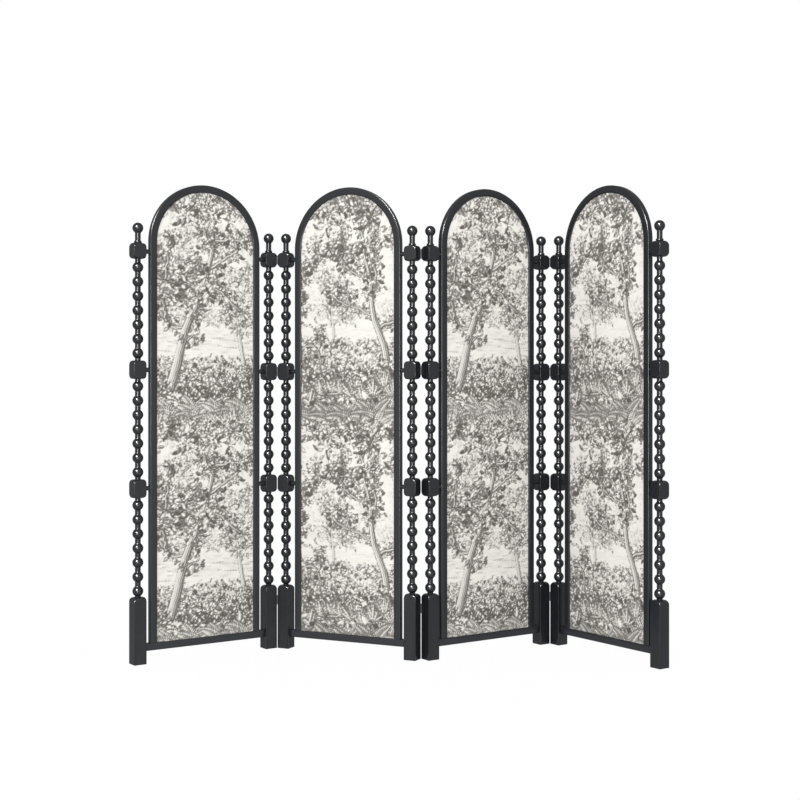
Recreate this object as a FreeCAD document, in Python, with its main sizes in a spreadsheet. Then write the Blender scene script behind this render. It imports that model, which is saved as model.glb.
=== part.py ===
import FreeCAD, Part
import math
import os
import re

import Sketcher
from FreeCAD import Placement, Rotation, Vector

# Four-panel folding screen, in millimetres. Each panel is two bobbin-turned posts with an arch-headed
# frame between them, and three hinges join each panel to the next. The screen stands in a zigzag.
#
# Whole screen: origin on the floor under the middle of the folded screen, X along the row to the
# right, Y to the back, Z up. One panel: origin on the floor midway between its posts, X along the
# panel, Y to the back.

doc = FreeCAD.newDocument("folding_screen")

# Turned work is drawn in flats: bobbins and balls have eight sides, necks four, and dowels, knuckles
# and pins six. Each turned section keeps the area of the round one, so that a post keeps its weight.
FOUR_SIDED, EIGHT_SIDED, ROD_SIDES = 4, 8, 6

# Corners closer together than this are one corner
SAME_PLACE = 1e-6

# Driving sizes, set by hand
SIZES = {
    # posts
    "post_spacing": 549.0,        # from one post's axis to the other's, in one panel
    "post_side": 49.0,            # square blocks
    "base_height": 247.0,         # square foot block
    "block_height": 68.0,         # the two middle blocks
    "top_block_height": 57.0,
    "shoulder_rise": 11.0,        # sloped ends of the blocks
    "shoulder_inset": 6.5,
    "bobbin_width": 40.0,
    "bobbin_pitch": 53.0,
    "bobbin_count": 7,            # in each of a post's three runs
    "neck_width": 21.0,
    "neck_length": 12.0,          # straight part between two bobbins
    "first_bobbin_rise": 22.5,    # foot block to the middle of the first bobbin
    "bobbin_rise": 27.0,          # any other block to the middle of the next bobbin
    "top_block_rise": 32.0,       # last bobbin to the top block
    "collar_width": 30.0,         # flared collar on the top block
    "collar_edge": 3.0,
    "collar_height": 9.0,
    "finial_width": 40.0,
    "finial_rise": 56.5,          # top block to the middle of the ball
    # arch-headed frame
    "frame_height": 1795.0,       # floor to the crown of the arch
    "frame_depth": 22.0,
    "frame_face": 28.0,           # width of the frame as seen from the front
    "frame_gap": 20.5,            # post block to frame, where the dowels show
    "rail_foot": 45.5,            # floor to the bottom rail
    "rebate_width": 8.0,          # step at the back of the frame that holds the panel
    "rebate_lip": 5.0,            # what is left of the frame in front of the panel
    "panel_play": 0.5,            # board and paper are this much smaller than the rebate, all round
    "paper_thickness": 0.4,
    "board_thickness": 5.0,
    "bead_width": 8.0,            # straight beads that hold the board from behind
    "bead_depth": 6.0,
    "dowel_width": 17.0,
    "dowel_sink": 12.0,           # how far a dowel goes into a post and into the frame
    # hinges
    "fold_gap": 1.0,              # between two posts when the panels stand in line
    "pin_proud": 0.5,             # pin axis in front of the posts' faces
    "pin_width": 3.0,
    "pin_play": 0.06,             # round the pin, in the leaf that turns on it
    "knuckle_width": 6.0,
    "knuckle_play": 0.3,          # round the knuckles and between them
    "leaf_height": 36.0,
    "leaf_reach": 18.0,           # from the pin axis to the leaf's far edge
    "leaf_thickness": 1.5,
    "leaf_gap": 0.2,              # between two leaves when the panels stand in line
    "leaf_play": 0.3,             # round a leaf in its recess
    "hinge_rise": 190.0,          # floor to the middle of the lowest hinge
    "overrun": 1.0,               # how far a cutting shape passes the face that it cuts
    # how the screen stands: turn of the first panel, and the angle inside each fold, in degrees
    "first_turn": 30,
    "fold_one_two": 120,
    "fold_two_three": 120,
    "fold_three_four": 90,
}

# Places worked out from the sizes, as formulas
PLACES = {
    "run_length": "(bobbin_count - 1) * bobbin_pitch",
    "run_one_start": "base_height + first_bobbin_rise",
    "block_one_foot": "run_one_start + run_length + bobbin_rise",
    "block_one_top": "block_one_foot + block_height",
    "run_two_start": "block_one_top + bobbin_rise",
    "block_two_foot": "run_two_start + run_length + bobbin_rise",
    "block_two_top": "block_two_foot + block_height",
    "run_three_start": "block_two_top + bobbin_rise",
    "top_block_foot": "run_three_start + run_length + top_block_rise",
    "top_block_top": "top_block_foot + top_block_height",
    "finial_middle": "top_block_top + finial_rise",
    "low_dowel_rise": "(block_one_foot + block_one_top) / 2",
    "middle_dowel_rise": "(block_two_foot + block_two_top) / 2",
    "top_dowel_rise": "(top_block_foot + top_block_top) / 2",
    "arch_radius": "post_spacing / 2 - post_side / 2 - frame_gap",
    "opening_radius": "arch_radius - frame_face",
    "rebate_radius": "opening_radius + rebate_width",
    "panel_radius": "rebate_radius - panel_play",
    "springing": "frame_height - arch_radius",
    "rail_top": "rail_foot + frame_face",
    "rail_length": "post_spacing - post_side",
    "rebate_foot": "rail_top - rebate_width",
    "panel_foot": "rebate_foot + panel_play",
    "frame_front": "-frame_depth / 2",
    "rebate_front": "frame_front + rebate_lip",
    "board_front": "rebate_front + paper_thickness",
    "board_back": "board_front + board_thickness",
    "bead_start": "rebate_radius - bead_width",
    "dowel_start": "post_spacing / 2 - post_side / 2 - frame_gap - dowel_sink",
    "dowel_length": "frame_gap + 2 * dowel_sink",
    "pin_reach": "post_spacing / 2 + post_side / 2 + fold_gap / 2",
    "pin_depth": "post_side / 2 + pin_proud",
    "knuckle_clearance": f"knuckle_width / 2 / cos(180 / {ROD_SIDES}) + knuckle_play",
    "leaf_recess": "leaf_thickness - (fold_gap - leaf_gap) / 2",
}

NAMES = re.compile(r"\b(" + "|".join(sorted(SIZES, key=len, reverse=True)) + r")\b")
PLACE_NAMES = re.compile(r"\b(" + "|".join(sorted(PLACES, key=len, reverse=True)) + r")\b")


def fill_sheets():
    """Writes the driving sizes as plain numbers and the places as formulas, each with its alias."""
    sizes = doc.addObject("Spreadsheet::Sheet", "sizes")
    for row, (name, value) in enumerate(SIZES.items(), start=1):
        sizes.set(f"A{row}", name)
        sizes.set(f"B{row}", str(value))
        sizes.setAlias(f"B{row}", name)
    places = doc.addObject("Spreadsheet::Sheet", "places")
    for row, (name, formula) in enumerate(PLACES.items(), start=1):
        places.set(f"A{row}", name)
        places.set(f"B{row}", "=" + in_sheet(formula).replace("places.", ""))
        places.setAlias(f"B{row}", name)
    doc.recompute()
    return sizes, places


def in_sheet(text):
    """The expression with each size and place under its sheet's name."""
    return PLACE_NAMES.sub(r"places.\1", NAMES.sub(r"sizes.\1", text))


SHEET, PLACE_SHEET = fill_sheets()


def val(name):
    """The value of one cell, by its alias."""
    return float((SHEET if name in SIZES else PLACE_SHEET).get(name))


def bind(piece, **texts):
    """Ties properties of a piece to the sheets; x, y and z stand for its place."""
    for name, text in texts.items():
        target = f"Placement.Base.{name}" if name in ("x", "y", "z") else name
        piece.setExpression(target, in_sheet(text))


FRONT, BACK = -1, 1
LEFT, RIGHT = -1, 1
LEVEL = Rotation()
ABOUT_X = Rotation(Vector(1, 0, 0), 180)
ABOUT_Y = Rotation(Vector(0, 1, 0), 180)


# Sections of turned work


def to_flats(width, sides):
    """From the axis to a flat of the section that has the area of a round one of this width."""
    return width / 2 * math.sqrt(math.pi / (sides * math.tan(math.pi / sides)))


def section(radius, height, sides):
    """The eight corners of one section about Z; in a square section each corner stands for two."""
    reach = radius / math.cos(math.pi / sides)
    stands_for = EIGHT_SIDED // sides
    turns = [2 * math.pi / sides * (corner // stands_for + 0.5) for corner in range(EIGHT_SIDED)]
    return [Vector(reach * math.cos(turn), reach * math.sin(turn), height) for turn in turns]


def flat_face(corners):
    """A face with these corners, or None where fewer than three of them differ."""
    loop = [
        corner for here, corner in enumerate(corners)
        if not corner.isEqual(corners[here - 1], SAME_PLACE)
    ]
    return Part.Face(Part.makePolygon([*loop, loop[0]])) if len(loop) > 2 else None


def skinned(outline):
    """A solid through the sections of an outline, a list of (distance to the flats, height, sides)."""
    rings = [section(*entry) for entry in outline]
    faces = [flat_face(rings[0]), flat_face(rings[-1])]
    for low, high in zip(rings, rings[1:]):
        for here in range(EIGHT_SIDED):
            after = (here + 1) % EIGHT_SIDED
            faces.append(flat_face([low[here], low[after], high[after], high[here]]))
    solid = Part.Solid(Part.Shell([face for face in faces if face]))
    if solid.Volume < 0:
        solid.reverse()
    return solid


def rod(radius, foot, top):
    """A six-sided rod about Z, by the distance to its flats, with its first corner on X."""
    reach = radius / math.cos(math.pi / ROD_SIDES)
    turns = [2 * math.pi * corner / ROD_SIDES for corner in range(ROD_SIDES)]
    corners = [Vector(reach * math.cos(turn), reach * math.sin(turn), foot) for turn in turns]
    return flat_face(corners).extrude(Vector(0, 0, top - foot))


# Turned posts


def block_outline(foot, top):
    """A square block whose two ends slope in where the turning starts."""
    side = val("post_side") / 2
    shoulder = side - val("shoulder_inset")
    rise = val("shoulder_rise")
    heights = ((shoulder, foot), (side, foot + rise), (side, top - rise), (shoulder, top))
    return [(radius, height, FOUR_SIDED) for radius, height in heights]


def run_outline(foot, start, top):
    """A run of bobbins between two blocks, from the middle of the first bobbin up."""
    neck = to_flats(val("neck_width"), FOUR_SIDED)
    bobbin = to_flats(val("bobbin_width"), EIGHT_SIDED)
    pitch = val("bobbin_pitch")
    flank = (pitch - val("neck_length")) / 2
    outline = [(neck, foot, FOUR_SIDED)]
    for count in range(int(val("bobbin_count"))):
        middle = start + count * pitch
        outline.append((neck, middle - flank, FOUR_SIDED))
        outline.append((bobbin, middle, EIGHT_SIDED))
        outline.append((neck, middle + flank, FOUR_SIDED))
    return [*outline, (neck, top, FOUR_SIDED)]


def finial_outline(foot):
    """The collar on the top block, the neck and the ball."""
    neck = to_flats(val("neck_width"), FOUR_SIDED)
    collar = to_flats(val("collar_width"), EIGHT_SIDED)
    ball = to_flats(val("finial_width"), EIGHT_SIDED)
    middle = val("finial_middle")
    crown = val("finial_width") / 2
    band = ball * math.tan(math.pi / EIGHT_SIDED)
    return [
        (collar, foot, EIGHT_SIDED),
        (collar, foot + val("collar_edge"), EIGHT_SIDED),
        (neck, foot + val("collar_height"), FOUR_SIDED),
        (neck, middle - math.sqrt(crown**2 - (val("neck_width") / 2) ** 2), FOUR_SIDED),
        (ball, middle - band, EIGHT_SIDED),
        (ball, middle + band, EIGHT_SIDED),
        (band, middle + crown, EIGHT_SIDED),
    ]


def turned_post():
    """One post with its axis on Z, from its square foot block to its finial."""
    side = val("post_side") / 2
    outline = [
        (side, 0, FOUR_SIDED),
        *block_outline(0, val("base_height"))[2:],
        *run_outline(val("base_height"), val("run_one_start"), val("block_one_foot")),
        *block_outline(val("block_one_foot"), val("block_one_top")),
        *run_outline(val("block_one_top"), val("run_two_start"), val("block_two_foot")),
        *block_outline(val("block_two_foot"), val("block_two_top")),
        *run_outline(val("block_two_top"), val("run_three_start"), val("top_block_foot")),
        *block_outline(val("top_block_foot"), val("top_block_top")),
        *finial_outline(val("top_block_top")),
    ]
    return skinned(outline)


# Hinges: the pin axis is Z, the middle of the hinge is z = 0, and Y points away from the faces that
# the pin stands in front of. The leaf drawn is the one on the left, with the lower knuckle.


def box(low, high):
    """A box between two opposite corners."""
    size = high - low
    return Part.makeBox(size.x, size.y, size.z, low)


def hinge_leaf(bore_radius):
    """One leaf with its knuckle, bored for the pin, by the distance to the flats of its bore."""
    knuckle = val("knuckle_width") / 2
    clear = val("knuckle_clearance")
    half = val("leaf_height") / 2
    outside = -val("fold_gap") / 2 - val("leaf_recess")
    inside = outside + val("leaf_thickness")
    knuckle_top = -val("knuckle_play") / 2
    plate = box(Vector(outside, clear, -half), Vector(inside, val("leaf_reach"), half))
    tab = box(Vector(outside, 0, -half), Vector(inside, clear, knuckle_top))
    bore = rod(bore_radius, -half - val("overrun"), half)
    return plate.multiFuse([tab, rod(knuckle, -half, knuckle_top)]).cut(bore)


def hinge_recess():
    """What is cut from a post for one leaf and for the knuckles."""
    clear = val("knuckle_clearance")
    half = val("leaf_height") / 2 + val("leaf_play")
    past = val("overrun")
    seat = -val("fold_gap") / 2 - val("leaf_recess")
    plate = box(Vector(seat, 0, -half), Vector(past, val("leaf_reach") + val("leaf_play"), half))
    corner = box(Vector(-clear, -past, -half), Vector(past, clear, half))
    return plate.fuse(corner)


def hinge_heights():
    """The middle of each hinge: in the foot block, the second block up and the top block."""
    return [val("hinge_rise"), val("middle_dowel_rise"), val("top_dowel_rise")]


def hinge_spot(side, face):
    """Where a panel's pin axis is, and how the hinge turns to reach it.

    side is -1 for the panel's left post and 1 for its right one; face is -1 for the front and 1 for
    the back. A right-hand leaf is the drawn one, and each turn by half brings in the other side.
    """
    turn = LEVEL if side > 0 else ABOUT_Y
    if face > 0:
        turn = ABOUT_X.multiply(turn)
    return Vector(side * val("pin_reach"), face * val("pin_depth"), 0), turn


def at_hinges(shape, side, face):
    """Copies of a hinge shape at the three hinges of one side of a panel."""
    spot, turn = hinge_spot(side, face)
    places = [Placement(spot + Vector(0, 0, rise), turn) for rise in hinge_heights()]
    return [shape.transformed(place.toMatrix()) for place in places]


# Arch-headed frame: its flat pieces are drawn on an upright plane, front face first


def origin_plane(body, role):
    """One of the body's own origin planes."""
    return next(feature for feature in body.Origin.OriginFeatures if feature.Role == role)


def upright_sketch(body, name, depth):
    """A sketch on the body's own upright plane, moved to a place along Y."""
    sketch = body.newObject("Sketcher::SketchObject", f"{body.Name}_{name}")
    sketch.AttachmentSupport = [(origin_plane(body, "XZ_Plane"), "")]
    sketch.MapMode = "FlatFace"
    bind(sketch, **{"AttachmentOffset.Base.z": f"-({depth})"})
    return sketch


def tie(sketch, kind, *spots, to):
    """Adds one dimension to a sketch and ties it to a size or place."""
    index = sketch.addConstraint(Sketcher.Constraint(kind, *spots, val(to)))
    bind(sketch, **{f"Constraints[{index}]": to})


def arched_outline(sketch, radius, foot):
    """A closed outline with a half-round head on the springing line, a flat foot and straight sides."""
    wide, high, low = val(radius), val("springing"), val(foot)
    first = sketch.GeometryCount
    head = Part.ArcOfCircle(Part.Circle(Vector(0, high, 0), Vector(0, 0, 1), wide), 0, math.pi)
    sketch.addGeometry([
        Part.LineSegment(Vector(-wide, low, 0), Vector(wide, low, 0)),
        Part.LineSegment(Vector(wide, low, 0), Vector(wide, high, 0)),
        head,
        Part.LineSegment(Vector(-wide, high, 0), Vector(-wide, low, 0)),
    ], False)
    base, right, arc, left = range(first, first + 4)
    sketch.addConstraint([
        Sketcher.Constraint("Coincident", base, 2, right, 1),
        Sketcher.Constraint("Tangent", right, 2, arc, 1),
        Sketcher.Constraint("Tangent", arc, 2, left, 1),
        Sketcher.Constraint("Coincident", left, 2, base, 1),
        Sketcher.Constraint("Horizontal", base),
        Sketcher.Constraint("Vertical", right),
        Sketcher.Constraint("PointOnObject", arc, 3, -2),
    ])
    tie(sketch, "Radius", arc, to=radius)
    tie(sketch, "DistanceY", -1, 1, arc, 3, to="springing")
    tie(sketch, "DistanceY", -1, 1, base, 1, to=foot)


def pad(body, sketch, thickness):
    """Gives the sketch its thickness, towards the back."""
    solid = body.newObject("PartDesign::Pad", f"{sketch.Name}_pad")
    solid.Profile = sketch
    solid.Reversed = True
    bind(solid, Length=thickness)
    sketch.Visibility = False


def new_body(name):
    """An empty body with a label of its own."""
    body = doc.addObject("PartDesign::Body", name)
    body.Label = name
    return body


def arched_sheet(name, front, thickness):
    """A flat sheet that fills the frame's rebate: the paper or the board behind it."""
    body = new_body(name)
    sketch = upright_sketch(body, "outline", front)
    arched_outline(sketch, "panel_radius", "panel_foot")
    pad(body, sketch, thickness)
    return body


def pocket(body, sketch, depth):
    """Cuts the sketch into the body, towards the back, and stops if nothing was cut."""
    doc.recompute()
    whole = body.Shape.Volume
    hole = body.newObject("PartDesign::Pocket", f"{sketch.Name}_pocket")
    hole.Profile = sketch
    bind(hole, Length=depth)
    doc.recompute()
    if body.Shape.Volume >= whole:
        raise RuntimeError(f"{hole.Name} cut nothing")


def arched_frame(name):
    """The bent frame: two uprights and the half-round head in one length, rebated round the back."""
    body = new_body(name)
    outside = upright_sketch(body, "outside", "frame_front")
    arched_outline(outside, "arch_radius", "rail_top")
    pad(body, outside, "frame_depth")
    opening = upright_sketch(body, "opening", "frame_front - overrun")
    arched_outline(opening, "opening_radius", "rebate_foot")
    pocket(body, opening, "frame_depth + 2 * overrun")
    step = upright_sketch(body, "rebate", "rebate_front")
    arched_outline(step, "rebate_radius", "rebate_foot")
    pocket(body, step, "frame_depth")
    return body


def bound_box(name, **texts):
    """A box whose sides and corner are expressions."""
    piece = doc.addObject("Part::Box", name)
    bind(piece, **texts)
    return piece


def beads(name):
    """The three straight beads behind the board: one up each side, and one along the foot."""
    upright = {"Length": "bead_width", "Width": "bead_depth", "Height": "springing - rebate_foot"}
    group = doc.addObject("Part::Compound", name)
    group.Links = [
        bound_box(f"{name}_left", **upright, x="-rebate_radius", y="board_back", z="rebate_foot"),
        bound_box(f"{name}_right", **upright, x="bead_start", y="board_back", z="rebate_foot"),
        bound_box(
            f"{name}_foot", Length="2 * bead_start", Width="bead_depth", Height="bead_width",
            x="-bead_start", y="board_back", z="rebate_foot",
        ),
    ]
    group.Label = name
    return group


def cut_piece(name, base, tools):
    """A piece with other shapes cut out of it."""
    piece = doc.addObject("Part::Cut", name)
    piece.Base = base
    piece.Tool = tools if not isinstance(tools, list) else fused(f"{name}_cutters", tools)
    piece.Label = name
    return piece


def fused(name, shapes):
    """Several shapes taken together."""
    piece = doc.addObject("Part::MultiFuse", name)
    piece.Shapes = shapes
    return piece


def dowel(name, side, height, start, length):
    """One dowel, or the hole for it, along X; side is -1 for the left of the panel and 1 for its right."""
    piece = doc.addObject("Part::Prism", name)
    piece.Polygon = ROD_SIDES
    piece.Placement = Placement(Vector(), Rotation(Vector(0, 1, 0), side * 90))
    bind(piece, Circumradius="dowel_width / 2", Height=length)
    bind(piece, x=f"({side}) * ({start})", z=height)
    return piece


DOWEL_HEIGHTS = ("low_dowel_rise", "middle_dowel_rise", "top_dowel_rise")


def dowels(name, side):
    """The three dowels between one post and the frame."""
    group = doc.addObject("Part::Compound", name)
    group.Links = [
        dowel(f"{name}_{number}", side, height, "dowel_start", "dowel_length")
        for number, height in enumerate(DOWEL_HEIGHTS, start=1)
    ]
    group.Label = name
    return group


def drilled_frame(name):
    """The arched frame with the three dowel holes in each upright."""
    holes = [
        dowel(f"{name}_hole_{word}_{number}", side, height, "dowel_start", "dowel_sink + overrun")
        for word, side in (("left", LEFT), ("right", RIGHT))
        for number, height in enumerate(DOWEL_HEIGHTS, start=1)
    ]
    return cut_piece(name, arched_frame(f"{name}_timber"), holes)


def bottom_rail(name):
    """The bottom rail, which runs on past the frame to the two foot blocks."""
    timber = bound_box(
        f"{name}_timber", Length="rail_length", Width="frame_depth", Height="frame_face",
        x="-rail_length / 2", y="frame_front", z="rail_foot",
    )
    step = bound_box(
        f"{name}_step", Length="2 * rebate_radius", Width="frame_depth", Height="rebate_width + overrun",
        x="-rebate_radius", y="rebate_front", z="rebate_foot",
    )
    return cut_piece(name, timber, step)


# Posts in their places


def post(name, turned, side, hinge_face):
    """A turned post in its panel, with its dowel holes and, where it meets a post, its hinge recesses."""
    shape = turned.translated(Vector(side * val("post_spacing") / 2, 0, 0))
    start = side * (val("post_spacing") / 2 - val("post_side") / 2 - val("overrun"))
    reach = val("dowel_sink") + val("overrun")
    hole = rod(val("dowel_width") / 2 * math.cos(math.pi / ROD_SIDES), 0, reach)
    lying = Rotation(Vector(0, 1, 0), side * 90)
    places = [Placement(Vector(start, 0, val(height)), lying) for height in DOWEL_HEIGHTS]
    cutters = [hole.transformed(place.toMatrix()) for place in places]
    if hinge_face:
        cutters += at_hinges(hinge_recess(), side, hinge_face)
    piece = doc.addObject("Part::Feature", name)
    piece.Shape = shape.cut(cutters).Solids[0]
    piece.Label = name
    return piece


def hardware(name, shapes):
    """One node of like hinge pieces, as separate solids."""
    piece = doc.addObject("Part::Feature", name)
    piece.Shape = Part.Compound(shapes)
    piece.Label = name
    return piece


# Folded screen

# Each fold by its left-hand panel: which faces the pins stand at, and the panel that holds the pins
FOLD_FACES = {1: FRONT, 2: BACK, 3: FRONT}
PIN_HOLDERS = {1: 2, 2: 2, 3: 3}


def panel_places():
    """The placement of each panel in the zigzag, with the middle of the screen's box at the origin."""
    angles = [val("fold_one_two"), val("fold_two_three"), val("fold_three_four")]
    turn = val("first_turn")
    places = [Placement(Vector(), Rotation(Vector(0, 0, 1), turn))]
    for fold, inside in enumerate(angles, start=1):
        face = FOLD_FACES[fold]
        pin = places[-1].multVec(Vector(val("pin_reach"), face * val("pin_depth"), 0))
        turn += face * (180 - inside)
        rotation = Rotation(Vector(0, 0, 1), turn)
        centre = pin - rotation.multVec(Vector(-val("pin_reach"), face * val("pin_depth"), 0))
        places.append(Placement(centre, rotation))
    across = val("post_spacing") / 2 + val("post_side") / 2
    deep = val("post_side") / 2
    corners = [
        place.multVec(Vector(side * across, face * deep, 0))
        for place in places for side in (LEFT, RIGHT) for face in (FRONT, BACK)
    ]
    middle = Vector(
        (min(corner.x for corner in corners) + max(corner.x for corner in corners)) / 2,
        (min(corner.y for corner in corners) + max(corner.y for corner in corners)) / 2,
        0,
    )
    return [Placement(place.Base - middle, place.Rotation) for place in places]


def build_panel(number, turned, place):
    """All pieces of one panel, without its hinges."""
    name = f"panel_{number}"
    pieces = [
        post(f"{name}_post_left", turned, LEFT, FOLD_FACES.get(number - 1)),
        post(f"{name}_post_right", turned, RIGHT, FOLD_FACES.get(number)),
        drilled_frame(f"{name}_arched_frame"),
        bottom_rail(f"{name}_bottom_rail"),
        arched_sheet(f"{name}_paper", "rebate_front", "paper_thickness"),
        arched_sheet(f"{name}_board", "board_front", "board_thickness"),
        beads(f"{name}_beads"),
        dowels(f"{name}_dowels_left", LEFT),
        dowels(f"{name}_dowels_right", RIGHT),
    ]
    for piece in pieces:
        piece.Placement = place
    return pieces


def build_fold(left, places):
    """The leaves and pins of one fold; the pins are held by one panel's leaves and turn in the other's."""
    name = f"fold_{left}_{left + 1}"
    face = FOLD_FACES[left]
    pin = val("pin_width") / 2
    held = hinge_leaf(pin)
    turning = hinge_leaf(pin / math.cos(math.pi / ROD_SIDES) + val("pin_play"))
    holder = PIN_HOLDERS[left]
    half = val("leaf_height") / 2
    pieces = []
    for panel, side, word in ((left, RIGHT, "left"), (left + 1, LEFT, "right")):
        leaf = held if panel == holder else turning
        piece = hardware(f"{name}_leaves_{word}", at_hinges(leaf, side, face))
        piece.Placement = places[panel - 1]
        pieces.append(piece)
    side = RIGHT if holder == left else LEFT
    pins = hardware(f"{name}_pins", at_hinges(rod(pin, -half, half), side, face))
    pins.Placement = places[holder - 1]
    return [*pieces, pins]


def check_objects():
    """Stops if anything in the document failed."""
    for thing in doc.Objects:
        if "Invalid" in thing.State or "Error" in thing.State:
            raise RuntimeError(f"{thing.Name} failed: {thing.State}")


def build_screen():
    """All pieces of the screen, in their places."""
    turned = turned_post()
    places = panel_places()
    pieces = []
    for number, place in enumerate(places, start=1):
        pieces += build_panel(number, turned, place)
    for left in FOLD_FACES:
        pieces += build_fold(left, places)
    doc.recompute()
    return pieces


def write_pieces(pieces):
    """Checks every piece's shape and writes one file for each piece."""
    check_objects()
    for piece in pieces:
        if piece.Shape.isNull() or not piece.Shape.isValid():
            raise RuntimeError(f"{piece.Label} has no valid shape")
    os.makedirs("parts", exist_ok=True)
    for piece in pieces:
        piece.Shape.exportStep(f"parts/{piece.Label}.step")
        print(f"{piece.Label}: {len(piece.Shape.Solids)} solid(s), {piece.Shape.Volume / 1000:.1f} cm3")


write_pieces(build_screen())
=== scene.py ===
"""Folding screen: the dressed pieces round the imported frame, in metres, with Z up.

Each panel is drawn about its own middle on the floor, with X along the panel and Y to the back, and is
then moved to its place in the zigzag.
"""
import sys
import logging
import math
from dataclasses import dataclass, field
from enum import Enum
from typing import Any, Iterable, Optional, Sequence, Union

import bmesh
import bpy
import numpy as np
from bpy.types import Material, Mesh, Node, NodeOutputs, NodeSocket, NodeTree, Object
from mathutils import Matrix, Vector


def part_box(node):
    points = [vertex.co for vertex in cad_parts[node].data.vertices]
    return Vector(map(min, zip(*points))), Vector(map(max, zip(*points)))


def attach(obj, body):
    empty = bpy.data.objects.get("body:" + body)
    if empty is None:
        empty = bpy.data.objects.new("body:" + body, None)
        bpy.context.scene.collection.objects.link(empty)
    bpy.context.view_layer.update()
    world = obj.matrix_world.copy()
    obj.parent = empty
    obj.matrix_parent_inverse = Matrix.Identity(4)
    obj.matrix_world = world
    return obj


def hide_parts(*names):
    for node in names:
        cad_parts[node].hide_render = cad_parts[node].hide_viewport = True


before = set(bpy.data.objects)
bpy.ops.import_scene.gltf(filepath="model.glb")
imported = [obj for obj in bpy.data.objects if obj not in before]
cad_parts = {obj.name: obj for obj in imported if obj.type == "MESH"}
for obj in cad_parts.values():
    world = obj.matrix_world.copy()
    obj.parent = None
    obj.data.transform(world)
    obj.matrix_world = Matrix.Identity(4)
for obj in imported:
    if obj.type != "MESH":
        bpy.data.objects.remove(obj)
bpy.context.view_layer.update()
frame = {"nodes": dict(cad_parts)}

LOG = logging.getLogger("folding_screen")

Pair = tuple[float, float]
MATH = "ShaderNodeMath"
WHITE = "#ffffff"
# Edges that turn by more degrees than this stay sharp
SHARP_TURN = 38
PANELS = (1, 2, 3, 4)


class Side(Enum):
    """The left or right of a panel, seen from the front, with its sign along X."""

    LEFT = -1
    RIGHT = 1

    @property
    def word(self) -> str:
        """The side's word in node names."""
        return self.name.lower()


class Face(Enum):
    """The front or back of a panel, with its sign along Y."""

    FRONT = -1
    BACK = 1


class Verdure(Enum):
    """The two printed designs, with the seed of each one's leaves."""

    LEANING_TREE = 11
    FERN_GLADE = 29


# The pins of each fold, by its left-hand panel: the faces they stand at, and the panel that holds them
FOLD_FACES = {1: Face.FRONT, 2: Face.BACK, 3: Face.FRONT}
PIN_HOLDERS = {1: 2, 2: 2, 3: 3}
DESIGNS = {1: Verdure.LEANING_TREE, 2: Verdure.FERN_GLADE, 3: Verdure.LEANING_TREE, 4: Verdure.FERN_GLADE}


# Node trees


def add(tree: NodeTree, kind: str, fills: Union[dict, Sequence] = (), **settings: Any) -> Node:
    """Adds a node with its settings and links.

    Args:
        tree: The shader or geometry tree.
        kind: The node's type.
        fills: What goes into its inputs, by their names or numbers, or in order from the first. Each is
            a value, an output to link from, or a node that gives its first output in use.
        settings: The node's own properties.

    Returns:
        The new node.
    """
    node = tree.nodes.new(kind)
    for name, value in settings.items():
        setattr(node, name, value)
    for key, value in fills.items() if isinstance(fills, dict) else enumerate(fills):
        if isinstance(value, Node):
            value = next(output for output in value.outputs if output.enabled)
        if isinstance(value, NodeSocket):
            tree.links.new(value, node.inputs[key])
        else:
            node.inputs[key].default_value = value
    return node


def geometry_tree(name: str, **sockets: str) -> tuple[NodeTree, NodeOutputs]:
    """An empty geometry tree with named inputs.

    Args:
        name: The tree's name.
        sockets: Each input's name, with spaces as underscores, and its kind, such as Float.

    Returns:
        The tree, and its inputs by name.
    """
    tree = bpy.data.node_groups.new(name, "GeometryNodeTree")
    for way in ("INPUT", "OUTPUT"):
        tree.interface.new_socket("Geometry", in_out=way, socket_type="NodeSocketGeometry")
    for socket, kind in sockets.items():
        title = socket.replace("_", " ")
        tree.interface.new_socket(title, in_out="INPUT", socket_type=f"NodeSocket{kind}")
    return tree, add(tree, "NodeGroupInput").outputs


def end_tree(tree: NodeTree, shape: Node, finish: NodeSocket) -> NodeTree:
    """Ends a geometry tree with real, smooth geometry in one finish.

    Args:
        tree: The tree.
        shape: The node that gives its finished geometry.
        finish: The output that holds the material.

    Returns:
        The same tree.
    """
    real = add(tree, "GeometryNodeRealizeInstances", {"Geometry": shape})
    smooth = add(tree, "GeometryNodeSetShadeSmooth", {"Geometry": real})
    dressed = add(tree, "GeometryNodeSetMaterial", {"Geometry": smooth, "Material": finish})
    add(tree, "NodeGroupOutput", {"Geometry": dressed})
    return tree


def helper(mesh: Mesh) -> Object:
    """An object that holds a mesh while another piece is made from it.

    Args:
        mesh: The mesh.

    Returns:
        The object, in the scene.
    """
    thing = bpy.data.objects.new("helper", mesh)
    bpy.context.collection.objects.link(thing)
    return thing


def evaluated(thing: Object) -> Mesh:
    """A plain mesh of an object with its modifiers applied."""
    graph = bpy.context.evaluated_depsgraph_get()
    return bpy.data.meshes.new_from_object(thing.evaluated_get(graph))


def grown(tree: NodeTree, base: Mesh, **values: Any) -> Mesh:
    """Runs a geometry tree over a mesh.

    Args:
        tree: The tree.
        base: The mesh that it starts from.
        values: Its inputs by name, with spaces as underscores. A mesh goes in on an object.

    Returns:
        The mesh that it makes.
    """
    thing = helper(base)
    held = {name: helper(value) for name, value in values.items() if isinstance(value, Mesh)}
    modifier = thing.modifiers.new(tree.name, "NODES")
    modifier.node_group = tree
    for item in tree.interface.items_tree:
        title = item.name.replace(" ", "_")
        if item.in_out == "INPUT" and title in values:
            modifier[item.identifier] = held.get(title, values[title])
    mesh = evaluated(thing)
    for spent in (thing, *held.values()):
        bpy.data.objects.remove(spent)
    return coated(mesh, mesh.materials[-1])


# Mesh building


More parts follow.
